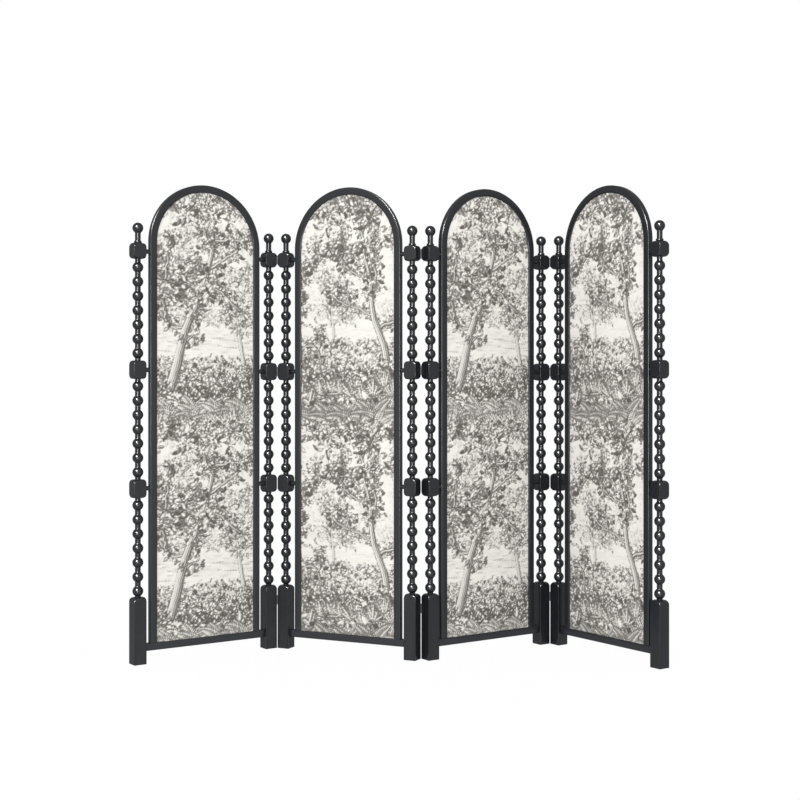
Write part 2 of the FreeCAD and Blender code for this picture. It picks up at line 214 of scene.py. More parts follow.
def polyline(points: Sequence[Sequence[float]], closed: bool = False) -> Mesh:
    """A mesh of edges through points.

    Args:
        points: The points in order.
        closed: Whether the last joins the first.

    Returns:
        The mesh.
    """
    edges = [(here, here + 1) for here in range(len(points) - 1)]
    if closed:
        edges.append((len(points) - 1, 0))
    mesh = bpy.data.meshes.new("line")
    mesh.from_pydata([tuple(point) for point in points], edges, [])
    return mesh


def sealed(build: bmesh.types.BMesh, mesh: Mesh) -> Mesh:
    """Merges doubled points, turns the faces outwards and writes the result to a mesh.

    Args:
        build: The faces, which are freed.
        mesh: The mesh to write to.

    Returns:
        The same mesh.
    """
    bmesh.ops.remove_doubles(build, verts=build.verts, dist=1e-7)
    bmesh.ops.recalc_face_normals(build, faces=build.faces)
    build.to_mesh(mesh)
    build.free()
    return mesh


def spots(points: Iterable[Sequence[float]]) -> Mesh:
    """A mesh of loose points.

    Args:
        points: The points.

    Returns:
        The mesh.
    """
    mesh = bpy.data.meshes.new("spots")
    mesh.from_pydata([tuple(point) for point in points], [], [])
    return mesh


def shell(rings: Sequence[Sequence[Vector]]) -> Mesh:
    """A closed skin through rings that have the same number of points.

    Args:
        rings: The rings in order; one whose points all agree closes to a pole.

    Returns:
        The mesh, with its faces outwards.
    """
    build = bmesh.new()
    rows = [[build.verts.new(point) for point in ring] for ring in rings]
    count = len(rows[0])
    for low, high in zip(rows, rows[1:]):
        for here in range(count):
            after = (here + 1) % count
            build.faces.new((low[here], low[after], high[after], high[here]))
    build.faces.new(rows[0][::-1])
    build.faces.new(rows[-1])
    return sealed(build, bpy.data.meshes.new("shell"))


def lathe(profile: Sequence[Pair], sides: int) -> Mesh:
    """Turns a profile about Z.

    Args:
        profile: Radius and height of each point, from the foot up.
        sides: Faces round the axis.

    Returns:
        The turned mesh.
    """
    turns = [2 * math.pi * side / sides for side in range(sides)]
    return shell([
        [Vector((radius * math.cos(turn), radius * math.sin(turn), height)) for turn in turns]
        for radius, height in profile
    ])


def eased_rod(radius: float, foot: float, top: float, ease: float, sides: int) -> Mesh:
    """A round rod about Z with eased ends.

    Args:
        radius: Its radius.
        foot: Height of its foot.
        top: Height of its top.
        ease: How far its ends are eased.
        sides: Faces round the axis.

    Returns:
        The rod's mesh.
    """
    low = [(0, foot), (radius - ease, foot), (radius, foot + ease)]
    high = [(radius, top - ease), (radius - ease, top), (0, top)]
    return lathe([*low, *high], sides)


def rounded(corners: Sequence[tuple[float, float, float]], steps: int = 5) -> list[Pair]:
    """A closed outline with rounded corners.

    Args:
        corners: Each corner's two coordinates and its radius.
        steps: Stretches in each rounded corner.

    Returns:
        The outline's points.
    """
    points: list[Pair] = []
    for here, (x, y, radius) in enumerate(corners):
        corner = Vector((x, y))
        before = (Vector(corners[here - 1][:2]) - corner).normalized()
        after = (Vector(corners[(here + 1) % len(corners)][:2]) - corner).normalized()
        half = before.angle(after) / 2
        reach = radius / math.tan(half)
        centre = corner + (before + after).normalized() * (radius / math.sin(half))
        start = corner + before * reach - centre
        end = corner + after * reach - centre
        for step in range(steps + 1):
            spoke = start.lerp(end, step / steps)
            spoke = spoke.normalized() * radius if radius else spoke
            points.append((centre.x + spoke.x, centre.y + spoke.y))
    return points


def bar(outline: Sequence[Pair], start: float, end: float) -> Mesh:
    """A straight bar along X with one section, given by its places along Y and Z."""
    return shell([[Vector((x, y, z)) for y, z in outline] for x in (start, end)])


def block_mesh(low: Sequence[float], high: Sequence[float]) -> Mesh:
    """A plain box between two corners, for cutting with.

    Args:
        low: Its lowest corner.
        high: Its highest corner.

    Returns:
        The box's mesh.
    """
    (x0, y0, z0), (x1, y1, z1) = low, high
    floor = ((x0, y0), (x1, y0), (x1, y1), (x0, y1))
    return shell([[Vector((x, y, z)) for x, y in floor] for z in (z0, z1)])


def joined(*meshes: Mesh) -> Mesh:
    """One mesh made of several, which keep their own materials' order.

    Args:
        meshes: The meshes, with one material each or none.

    Returns:
        The joined mesh.
    """
    materials = list(dict.fromkeys(mesh.materials[0] for mesh in meshes if mesh.materials))
    build = bmesh.new()
    for mesh in meshes:
        first = len(build.faces)
        build.from_mesh(mesh)
        build.faces.ensure_lookup_table()
        index = materials.index(mesh.materials[0]) if mesh.materials else 0
        for face in build.faces[first:]:
            face.material_index = index
    result = bpy.data.meshes.new("joined")
    build.to_mesh(result)
    build.free()
    for material in materials:
        result.materials.append(material)
    return result


def moved(mesh: Mesh, matrix: Matrix) -> Mesh:
    """A copy of a mesh, moved.

    Args:
        mesh: The mesh.
        matrix: How it is moved.

    Returns:
        The copy.
    """
    copy = mesh.copy()
    copy.transform(matrix)
    return copy


def cut(mesh: Mesh, cutters: Sequence[Mesh]) -> Mesh:
    """Cuts meshes out of a mesh.

    Args:
        mesh: The closed mesh to cut.
        cutters: The closed meshes that are taken away.

    Returns:
        What is left.
    """
    for cutter in cutters:
        whole = helper(mesh)
        tool = helper(cutter)
        modifier = whole.modifiers.new("cut", "BOOLEAN")
        modifier.operation = "DIFFERENCE"
        modifier.solver = "EXACT"
        modifier.object = tool
        mesh = evaluated(whole)
        bpy.data.objects.remove(whole)
        bpy.data.objects.remove(tool)
    return mesh


def coated(mesh: Mesh, material: Material) -> Mesh:
    """Gives a whole mesh one material.

    Args:
        mesh: The mesh.
        material: Its only material.

    Returns:
        The same mesh.
    """
    mesh.materials.clear()
    mesh.materials.append(material)
    return mesh


# Finishes


def linear(colour: str) -> tuple[float, float, float, float]:
    """An sRGB hex colour as linear red, green, blue and alpha.

    Args:
        colour: The colour, such as #222428.

    Returns:
        Its linear values.
    """
    channels = [int(colour[start:start + 2], 16) / 255 for start in (1, 3, 5)]
    turned = [value / 12.92 if value <= 0.04045 else ((value + 0.055) / 1.055) ** 2.4 for value in channels]
    return (*turned, 1.0)


def patches(tree: NodeTree, size: float, stretch: Sequence[float] = (1, 1, 1), detail: float = 3) -> Node:
    """A cloudy pattern that lies on the piece's own coordinates.

    Args:
        tree: The material's tree.
        size: Size of one patch, in metres.
        stretch: How many times longer a patch is along each axis.
        detail: How much finer cloud lies on it.

    Returns:
        The node that gives the pattern, from 0 to 1.
    """
    place = add(tree, "ShaderNodeTexCoord").outputs["Object"]
    scale = tuple(1 / (size * times) for times in stretch)
    mapped = add(tree, "ShaderNodeMapping", {"Vector": place, "Scale": scale})
    return add(tree, "ShaderNodeTexNoise", {"Vector": mapped, "Scale": 1.0, "Detail": detail})


class Finish:
    """A finish that builds its own material."""

    name: str

    def surface(self, tree: NodeTree) -> Node:
        """Adds the finish to a material's tree and gives the node that shades it."""
        raise NotImplementedError

    def material(self) -> Material:
        """Builds the material.

        Returns:
            The material, under the finish's name.
        """
        material = bpy.data.materials.new(self.name)
        material.use_nodes = True
        tree = material.node_tree
        tree.nodes.clear()
        add(tree, "ShaderNodeOutputMaterial", {"Surface": self.surface(tree)})
        return material


@dataclass(frozen=True)
class BlackLacquer(Finish):
    """Beech, turned and sanded, sprayed with satin black lacquer.

    The film fills the pores and levels to a soft sheen, with a faint orange peel and the grain just
    showing through, and it thins to charcoal on the sharp edges. Its matting powder keeps it from
    mirroring at a low angle, as a clear film would.
    """

    name: str = "satin_black_lacquered_beech"
    body_colour: str = "#222428"
    worn_colour: str = "#313337"
    worn_from: float = 0.52
    worn_to: float = 0.62
    gloss_low: float = 0.19
    gloss_high: float = 0.25
    gloss_patch: float = 0.09
    refraction: float = 1.43
    matting_level: float = 0.58
    matting_power: float = 2.6
    peel: float = 0.0025
    grain: float = 0.0012
    grain_length: float = 30
    peel_depth: float = 0.00004
    grain_depth: float = 0.00002

    def surface(self, tree: NodeTree) -> Node:
        """Colour that thins on the edges, a cloudy gloss, and the grain on the peel.

        Args:
            tree: The material's tree.

        Returns:
            The shader.
        """
        edges = add(tree, "ShaderNodeNewGeometry").outputs["Pointiness"]
        fills = {"Value": edges, "From Min": self.worn_from, "From Max": self.worn_to}
        worn = add(tree, "ShaderNodeMapRange", fills)
        fills = {"Factor": worn, 6: linear(self.body_colour), 7: linear(self.worn_colour)}
        colour = add(tree, "ShaderNodeMix", fills, data_type="RGBA")
        cloud = patches(tree, self.gloss_patch)
        fills = {"Value": cloud, "To Min": self.gloss_low, "To Max": self.gloss_high}
        rough = add(tree, "ShaderNodeMapRange", fills)
        peel = patches(tree, self.peel, detail=1)
        peeled = add(tree, "ShaderNodeBump", {"Height": peel, "Distance": self.peel_depth})
        grain = patches(tree, self.grain, (1, 1, self.grain_length))
        fills = {"Height": grain, "Distance": self.grain_depth, "Normal": peeled}
        relief = add(tree, "ShaderNodeBump", fills)
        edge_on = add(tree, "ShaderNodeLayerWeight").outputs["Facing"]
        facing = add(tree, MATH, [1.0, edge_on], operation="SUBTRACT")
        matting = add(tree, MATH, [facing, self.matting_power], operation="POWER")
        level = add(tree, MATH, [matting, self.matting_level], operation="MULTIPLY")
        return add(tree, "ShaderNodeBsdfPrincipled", {
            "Base Color": colour, "Roughness": rough, "IOR": self.refraction, "Normal": relief,
            "Specular IOR Level": level,
        })


@dataclass(frozen=True)
class EngravedPaper(Finish):
    """Matt off-white printing paper with an engraving in warm grey ink.

    The plate's strokes swell where the drawing is dark, so a part of its tone comes from their width.
    The piece carries the drawing, as ink and wave.
    """

    name: str = "engraved_printing_paper"
    paper_colour: str = "#faf7f1"
    ink_colour: str = "#625e58"
    stroke_softness: float = 0.3
    stroke_share: float = 0.46
    fibre: float = 0.004
    fibre_shade: float = 0.965
    fibre_depth: float = 0.00006
    roughness: float = 0.9
    sheen: float = 0.1

    def surface(self, tree: NodeTree) -> Node:
        """Ink by strokes and tone on fibrous paper.

        Args:
            tree: The material's tree.

        Returns:
            The shader.
        """
        ink = add(tree, "ShaderNodeAttribute", attribute_name="ink").outputs["Fac"]
        wave = add(tree, "ShaderNodeAttribute", attribute_name="wave").outputs["Fac"]
        soft = self.stroke_softness
        reach = add(tree, MATH, [ink, 1 + 2 * soft, -soft], operation="MULTIPLY_ADD")
        above = add(tree, MATH, [reach, wave], operation="SUBTRACT")
        stroke = add(tree, "ShaderNodeMapRange", {"Value": above, "From Min": -soft, "From Max": soft})
        extra = add(tree, MATH, [stroke, ink], operation="SUBTRACT")
        share = add(tree, MATH, [extra, self.stroke_share, ink], operation="MULTIPLY_ADD")
        fills = {"Factor": share, 6: linear(self.paper_colour), 7: linear(self.ink_colour)}
        printed = add(tree, "ShaderNodeMix", fills, data_type="RGBA")
        fibres = patches(tree, self.fibre)
        shade = add(tree, "ShaderNodeMapRange", {"Value": fibres, "To Min": self.fibre_shade})
        colour = add(tree, "ShaderNodeVectorMath", {0: printed, "Scale": shade}, operation="SCALE")
        relief = add(tree, "ShaderNodeBump", {"Height": fibres, "Distance": self.fibre_depth})
        return add(tree, "ShaderNodeBsdfPrincipled", {
            "Base Color": colour, "Roughness": self.roughness, "Specular IOR Level": self.sheen,
            "Normal": relief,
        })


@dataclass(frozen=True)
class LinedBoard(Finish):
    """Thin hardboard lined on the back with plain buff paper, which shows its fibres and pasted streaks."""

    name: str = "buff_lining_paper_on_board"
    light_colour: str = "#d8d2c6"
    dark_colour: str = "#c6bfb1"
    fibre: float = 0.006
    fibre_length: float = 2.5
    fibre_depth: float = 0.00008
    streak: float = 0.05
    streak_length: float = 5
    streak_depth: float = 0.0002
    roughness: float = 0.82

    def surface(self, tree: NodeTree) -> Node:
        """Fibres and streaks in two near shades, with a little relief.

        Args:
            tree: The material's tree.

        Returns:
            The shader.
        """
        fibres = patches(tree, self.fibre, (1, 1, self.fibre_length))
        streaks = patches(tree, self.streak, (1, 1, self.streak_length), detail=4)
        both = add(tree, MATH, [fibres, streaks], operation="ADD")
        share = add(tree, MATH, [both, 0.5], operation="MULTIPLY")
        fills = {"Factor": share, 6: linear(self.light_colour), 7: linear(self.dark_colour)}
        colour = add(tree, "ShaderNodeMix", fills, data_type="RGBA")
        felted = add(tree, "ShaderNodeBump", {"Height": fibres, "Distance": self.fibre_depth})
        fills = {"Height": streaks, "Distance": self.streak_depth, "Normal": felted}
        relief = add(tree, "ShaderNodeBump", fills)
        return add(tree, "ShaderNodeBsdfPrincipled", {
            "Base Color": colour, "Roughness": self.roughness, "Normal": relief,
        })


@dataclass(frozen=True)
class PlainSteel(Finish):
    """Pressed or drawn mild steel, oil-blackened or bright, with fine drawing marks along it."""

    name: str
    colour: str
    roughness: float
    roughness_spread: float = 0.06
    marks: float = 0.0006
    mark_length: float = 12
    mark_depth: float = 0.00001
    tarnish: float = 0.004
    tarnish_share: float = 0.25

    def surface(self, tree: NodeTree) -> Node:
        """Bare metal, a little darker in patches and finely marked.

        Args:
            tree: The material's tree.

        Returns:
            The shader.
        """
        share = add(tree, MATH, [patches(tree, self.tarnish), self.tarnish_share], operation="MULTIPLY")
        fills = {"Factor": share, 6: linear(self.colour), 7: linear("#000000")}
        colour = add(tree, "ShaderNodeMix", fills, data_type="RGBA")
        marks = patches(tree, self.marks, (1, 1, self.mark_length))
        low, high = self.roughness - self.roughness_spread, self.roughness + self.roughness_spread
        rough = add(tree, "ShaderNodeMapRange", {"Value": marks, "To Min": low, "To Max": high})
        relief = add(tree, "ShaderNodeBump", {"Height": marks, "Distance": self.mark_depth})
        return add(tree, "ShaderNodeBsdfPrincipled", {
            "Base Color": colour, "Metallic": 1.0, "Roughness": rough, "Normal": relief,
        })


@dataclass
class Finishes:
    """The finishes of the whole screen."""

    lacquer: Material = field(default_factory=BlackLacquer().material)
    paper: Material = field(default_factory=EngravedPaper().material)
    lining: Material = field(default_factory=LinedBoard().material)
    blackened: Material = field(default_factory=PlainSteel("oil_blackened_steel", "#4a4a4c", 0.42).material)
    bright: Material = field(default_factory=PlainSteel("drawn_steel_wire", "#a9a8a5", 0.3).material)


# Places


def panel_place(number: int) -> Matrix:
    """Where a panel stands, read from its two posts in the frame.

    Args:
        number: The panel's number.

    Returns:
        The move from the panel's own frame to the row's.
    """
    middles = []
    for side in Side:
        low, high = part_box(f"panel_{number}_post_{side.word}")
        middles.append((low + high) / 2)
    run = middles[1] - middles[0]
    centre = (middles[0] + middles[1]) / 2
    turn = Matrix.Rotation(math.atan2(run.y, run.x), 4, "Z")
    return Matrix.Translation((centre.x, centre.y, 0)) @ turn


PLACES = {number: panel_place(number) for number in PANELS}


def dress_node(node: str, mesh: Mesh, panel: int) -> None:
    """Puts a finished piece in the place of its node and on its panel's body.

    Args:
        node: The node that it stands for.
        mesh: Its mesh, in its panel's frame.
        panel: The panel that it moves with.
    """
    mesh.transform(PLACES[panel])
    for polygon in mesh.polygons:
        polygon.use_smooth = True
    mesh.set_sharp_from_angle(angle=math.radians(SHARP_TURN))
    name = f"dressed_{node}"
    mesh.name = name
    piece = bpy.data.objects.new(name, mesh)
    bpy.context.collection.objects.link(piece)
    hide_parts(node)
    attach(piece, f"panel_{panel}")
    LOG.info("%s: %d faces", name, len(mesh.polygons))


# Geometry trees


def bobbin_tree() -> NodeTree:
    """A run of bobbins on each point: balls at an even pitch on a neck, with a cove where they meet.

    Returns:
        The tree.
    """
    tree, size = geometry_tree(
        "run_of_bobbins", Bobbins="Int", Pitch="Float", Bobbin_Width="Float", Neck_Width="Float",
        Cove="Float", Foot="Float", Length="Float", Steps="Int", Sides="Int", Finish="Material",
    )
    low = add(tree, MATH, [size["Foot"], -1.0], operation="MULTIPLY")
    top = add(tree, MATH, [low, size["Length"]], operation="ADD")
    start = add(tree, "ShaderNodeCombineXYZ", {"Z": low})
    end = add(tree, "ShaderNodeCombineXYZ", {"Z": top})
    line = add(tree, "GeometryNodeCurvePrimitiveLine", {"Start": start, "End": end})
    fine = add(tree, "GeometryNodeResampleCurve", {"Curve": line, "Count": size["Steps"]})
    place = add(tree, "GeometryNodeInputPosition")
    height = add(tree, "ShaderNodeSeparateXYZ", [place]).outputs["Z"]
    share = add(tree, MATH, [height, size["Pitch"]], operation="DIVIDE")
    nearest = add(tree, MATH, [share], operation="ROUND")
    not_below = add(tree, MATH, [nearest, 0.0], operation="MAXIMUM")
    last = add(tree, MATH, [size["Bobbins"], 1.0], operation="SUBTRACT")
    bobbin = add(tree, MATH, [not_below, last], operation="MINIMUM")
    middle = add(tree, MATH, [bobbin, size["Pitch"]], operation="MULTIPLY")
    away = add(tree, MATH, [height, middle], operation="SUBTRACT")
    away_squared = add(tree, MATH, [away, 2.0], operation="POWER")
    ball = add(tree, MATH, [size["Bobbin Width"], 0.5], operation="MULTIPLY")
    ball_squared = add(tree, MATH, [ball, 2.0], operation="POWER")
    left = add(tree, MATH, [ball_squared, away_squared], operation="SUBTRACT")
    left = add(tree, MATH, [left, 0.0], operation="MAXIMUM")
    bulge = add(tree, MATH, [left], operation="SQRT")
    neck = add(tree, MATH, [size["Neck Width"], 0.5], operation="MULTIPLY")
    radius = add(tree, MATH, [bulge, neck, size["Cove"]], operation="SMOOTH_MAX")
    circle = add(tree, "GeometryNodeCurvePrimitiveCircle", {"Resolution": size["Sides"], "Radius": 1.0})
    fills = {"Curve": fine, "Profile Curve": circle, "Scale": radius, "Fill Caps": True}
    turned = add(tree, "GeometryNodeCurveToMesh", fills)
    placed = add(tree, "GeometryNodeInstanceOnPoints", {"Points": size["Geometry"], "Instance": turned})
    return end_tree(tree, placed, size["Finish"])


def sweep_tree() -> NodeTree:
    """A section carried along a path that lies in the panel's plane, with the section's X to the front.

    Returns:
        The tree.
    """
    tree, size = geometry_tree("moulding_on_path", Section="Object", Finish="Material")
    path = add(tree, "GeometryNodeMeshToCurve", {"Mesh": size["Geometry"]})
    fills = {"Curve": path, "Normal": (0.0, -1.0, 0.0)}
    facing = add(tree, "GeometryNodeSetCurveNormal", fills, mode="FREE")
    section = add(tree, "GeometryNodeObjectInfo", {"Object": size["Section"]})
    outline = add(tree, "GeometryNodeMeshToCurve", {"Mesh": section.outputs["Geometry"]})
    fills = {"Curve": facing, "Profile Curve": outline, "Fill Caps": True}
    return end_tree(tree, add(tree, "GeometryNodeCurveToMesh", fills), size["Finish"])


def repeat_tree(spaced: bool) -> NodeTree:
    """One piece put on each point of a mesh, or at even spaces along it.

    Args:
        spaced: Whether the mesh is a path with even spaces on it.

    Returns:
        The tree.
    """
    name, sockets = ("piece_along_path", {"Spacing": "Float"}) if spaced else ("piece_on_points", {})
    tree, size = geometry_tree(name, Piece="Object", Finish="Material", **sockets)
    points = size["Geometry"]
    if spaced:
        path = add(tree, "GeometryNodeMeshToCurve", {"Mesh": points})
        fills = {"Curve": path, "Length": size["Spacing"]}
        points = add(tree, "GeometryNodeCurveToPoints", fills, mode="LENGTH")
    unit = add(tree, "GeometryNodeObjectInfo", {"Object": size["Piece"]}).outputs["Geometry"]
    placed = add(tree, "GeometryNodeInstanceOnPoints", {"Points": points, "Instance": unit})
    return end_tree(tree, placed, size["Finish"])


@dataclass
class Trees:
    """The geometry trees that the pieces share."""

    bobbins: NodeTree = field(default_factory=bobbin_tree)
    sweep: NodeTree = field(default_factory=sweep_tree)
    repeat: NodeTree = field(default_factory=lambda: repeat_tree(spaced=False))
    spaced: NodeTree = field(default_factory=lambda: repeat_tree(spaced=True))

    def swept(self, path: Mesh, section: Sequence[Pair], finish: Material) -> Mesh:
        """A moulding along a path.

        Args:
            path: The path's edges.
            section: The section, first towards the front and then inwards.
            finish: Its material.

        Returns:
            The moulding's mesh, with its faces outwards.
        """
        outline = polyline([(x, y, 0) for x, y in section], closed=True)
        mesh = grown(self.sweep, path, Section=outline, Finish=finish)
        build = bmesh.new()
        build.from_mesh(mesh)
        return sealed(build, mesh)

    def on_points(self, unit: Mesh, points: Iterable[Sequence[float]], finish: Material) -> Mesh:
        """Copies of a piece on points, as one mesh in one material."""
        return grown(self.repeat, spots(points), Piece=unit, Finish=finish)

    def along(self, unit: Mesh, path: Mesh, spacing: float, finish: Material) -> Mesh:
        """Copies of a piece at even spaces along a path, as one mesh in one material."""
        return grown(self.spaced, path, Piece=unit, Spacing=spacing, Finish=finish)


# Turned posts


@dataclass
class TurnedPost:
    """One bobbin-turned post with its axis on Z, from its square foot block to its ball finial.

    Each rise is from a block's top to the next middle above it, or from the middle below to its foot.
    The collar's tuck and the arris's span are in degrees.
    """

    trees: Trees
    finishes: Finishes
    side: float = 0.049
    arris: float = 0.0011
    base_height: float = 0.247
    block_height: float = 0.068
    top_block_height: float = 0.057
    shoulder_width: float = 0.036
    shoulder_drop: float = 0.019
    shoulder_edge: float = 0.0012
    foot_chamfer: float = 0.0012
    bobbin_width: float = 0.040
    bobbin_pitch: float = 0.053
    bobbin_count: int = 7
    neck_width: float = 0.021
    cove: float = 0.0035
    first_bobbin_rise: float = 0.0225
    bobbin_rise: float = 0.027
    top_block_rise: float = 0.032
    collar_width: float = 0.0285
    collar_height: float = 0.0095
    collar_tuck: float = 50.0
    finial_width: float = 0.040
    finial_rise: float = 0.0565
    finial_cove: float = 0.0025
    sink: float = 0.004
    sides: int = 40
    steps_per_bobbin: int = 32
    shoulder_steps: int = 12
    face_steps: int = 16
    arris_steps: int = 7
    arris_span: float = 3.2
    collar_steps: int = 14
    finial_steps: int = 24

    def __post_init__(self) -> None:
        """Works out the heights of the runs and blocks, and the directions round a block."""
        self.run_length = (self.bobbin_count - 1) * self.bobbin_pitch
        self.run_starts = [self.base_height + self.first_bobbin_rise]
        self.blocks = []
        for _ in range(2):
            foot = self.run_starts[-1] + self.run_length + self.bobbin_rise
            self.blocks.append((foot, foot + self.block_height))
            self.run_starts.append(foot + self.block_height + self.bobbin_rise)
        top_foot = self.run_starts[-1] + self.run_length + self.top_block_rise
        self.blocks.append((top_foot, top_foot + self.top_block_height))
        edge = 45 - self.arris_span
        face = [-edge + 2 * edge * step / self.face_steps for step in range(self.face_steps)]
        arris = [edge + 2 * self.arris_span * step / self.arris_steps for step in range(self.arris_steps)]
        self.turns = [math.radians(90 * quarter + step) for quarter in range(4) for step in face + arris]

    @property
    def block_middles(self) -> list[float]:
        """The middle heights of the three upper blocks, where the dowels are."""
        return [(foot + top) / 2 for foot, top in self.blocks]

    def square_reach(self, turn: float) -> float:
        """From the axis to the side of the square section, whose corners are rounded.

        Args:
            turn: The direction, in radians.

        Returns:
            The distance in metres.
        """
        half = self.side / 2
        folded = abs((turn + math.pi / 4) % (math.pi / 2) - math.pi / 4)
        if half * math.tan(folded) <= half - self.arris:
            return half / math.cos(folded)
        along = (half - self.arris) * (math.cos(folded) + math.sin(folded))
        return along + math.sqrt(along**2 - 2 * (half - self.arris) ** 2 + self.arris**2)

    def ring(self, height: float, limit: float, inset: float = 0) -> list[Vector]:
        """One section of a block: its square, turned down to a round where the limit is smaller.

        Args:
            height: The section's height.
            limit: Radius of the turning there.
            inset: How far the section lies inside the square.

        Returns:
            The ring's points.
        """
        points = []
        for turn in self.turns:
            square = self.square_reach(turn)
            gap = max(self.shoulder_edge - abs(square - limit), 0) / self.shoulder_edge
            reach = min(square, limit) - gap**2 * self.shoulder_edge / 4 - inset
            points.append(Vector((reach * math.cos(turn), reach * math.sin(turn), height)))
        return points

    def shoulder(self, end: float, sign: int) -> list[list[Vector]]:
        """The rings of one turned-down end of a block, from the end inwards.

        Args:
            end: Height of the end.
            sign: 1 for a top end and -1 for a foot.

        Returns:
            The rings.
        """
        round_end = self.shoulder_width / 2
        reach = self.side / 2 * math.sqrt(2) - round_end
        rings = []
        for step in range(self.shoulder_steps + 1):
            turn = math.pi / 2 * step / self.shoulder_steps
            drop = self.shoulder_drop * (1 - math.cos(turn))
            rings.append(self.ring(end - sign * drop, round_end + reach * math.sin(turn)))
        return rings

    def block(self, foot: float, top: float) -> Mesh:
        """A block between two heights, with both ends turned down."""
        return shell([*self.shoulder(foot, -1), *self.shoulder(top, 1)[::-1]])

    def base(self) -> Mesh:
        """The foot block, with a small chamfer at the floor and its top turned down."""
        rings = [self.ring(0, self.side, self.foot_chamfer), self.ring(self.foot_chamfer, self.side)]
        return shell([*rings, *self.shoulder(self.base_height, 1)[::-1]])

    def finial(self) -> Mesh:
        """The collar on the top block, its neck and the ball.

        Returns:
            The turned mesh.
        """
        foot = self.blocks[-1][1]
        middle = foot + self.finial_rise
        neck = self.neck_width / 2
        ball = self.finial_width / 2
        tuck = math.radians(self.collar_tuck)
        bulge = self.collar_width / 2 - neck
        rise = self.collar_height / (1 + math.sin(tuck))
        profile = [(0, foot - self.sink), (neck + bulge * math.cos(tuck), foot - self.sink)]
        for step in range(self.collar_steps + 1):
            turn = (math.pi / 2 + tuck) * step / self.collar_steps - tuck
            height = foot + rise * (math.sin(tuck) + math.sin(turn))
            profile.append((neck + bulge * math.cos(turn), height))
        join = math.asin(neck / ball)
        cove = self.finial_cove
        low = middle - ball * math.cos(join) - cove
        for turn in (0, math.pi / 4, math.pi / 2):
            profile.append((neck + cove / 2 * (1 - math.cos(turn)), low + cove * math.sin(turn)))
        for step in range(1, self.finial_steps + 1):
            turn = (math.pi - join) * (1 - step / self.finial_steps)
            profile.append((ball * math.sin(turn), middle + ball * math.cos(turn)))
        return lathe(profile, self.sides)

    def runs(self) -> Mesh:
        """The three runs of bobbins, each a closed length that goes a little way into the blocks.

        Returns:
            One mesh of all three.
        """
        foot = self.bobbin_rise + self.sink
        length = foot + self.run_length + self.top_block_rise + self.sink
        starts = spots([(0, 0, start) for start in self.run_starts])
        return grown(
            self.trees.bobbins, starts, Bobbins=self.bobbin_count, Pitch=self.bobbin_pitch,
            Bobbin_Width=self.bobbin_width, Neck_Width=self.neck_width, Cove=self.cove, Foot=foot,
            Length=length, Steps=int(length / self.bobbin_pitch * self.steps_per_bobbin),
            Sides=self.sides, Finish=self.finishes.lacquer,
        )

    def mesh(self, cutters: Sequence[Mesh]) -> Mesh:
        """The whole post.

        Args:
            cutters: Hinge recesses, in the post's frame.

        Returns:
            The post's mesh.
        """
        lacquer = self.finishes.lacquer
        blocks = [self.base(), *(self.block(foot, top) for foot, top in self.blocks)]
        blocks = [coated(cut(block, cutters), lacquer) for block in blocks]
        return joined(*blocks, coated(self.finial(), lacquer), self.runs())


# Arched frames


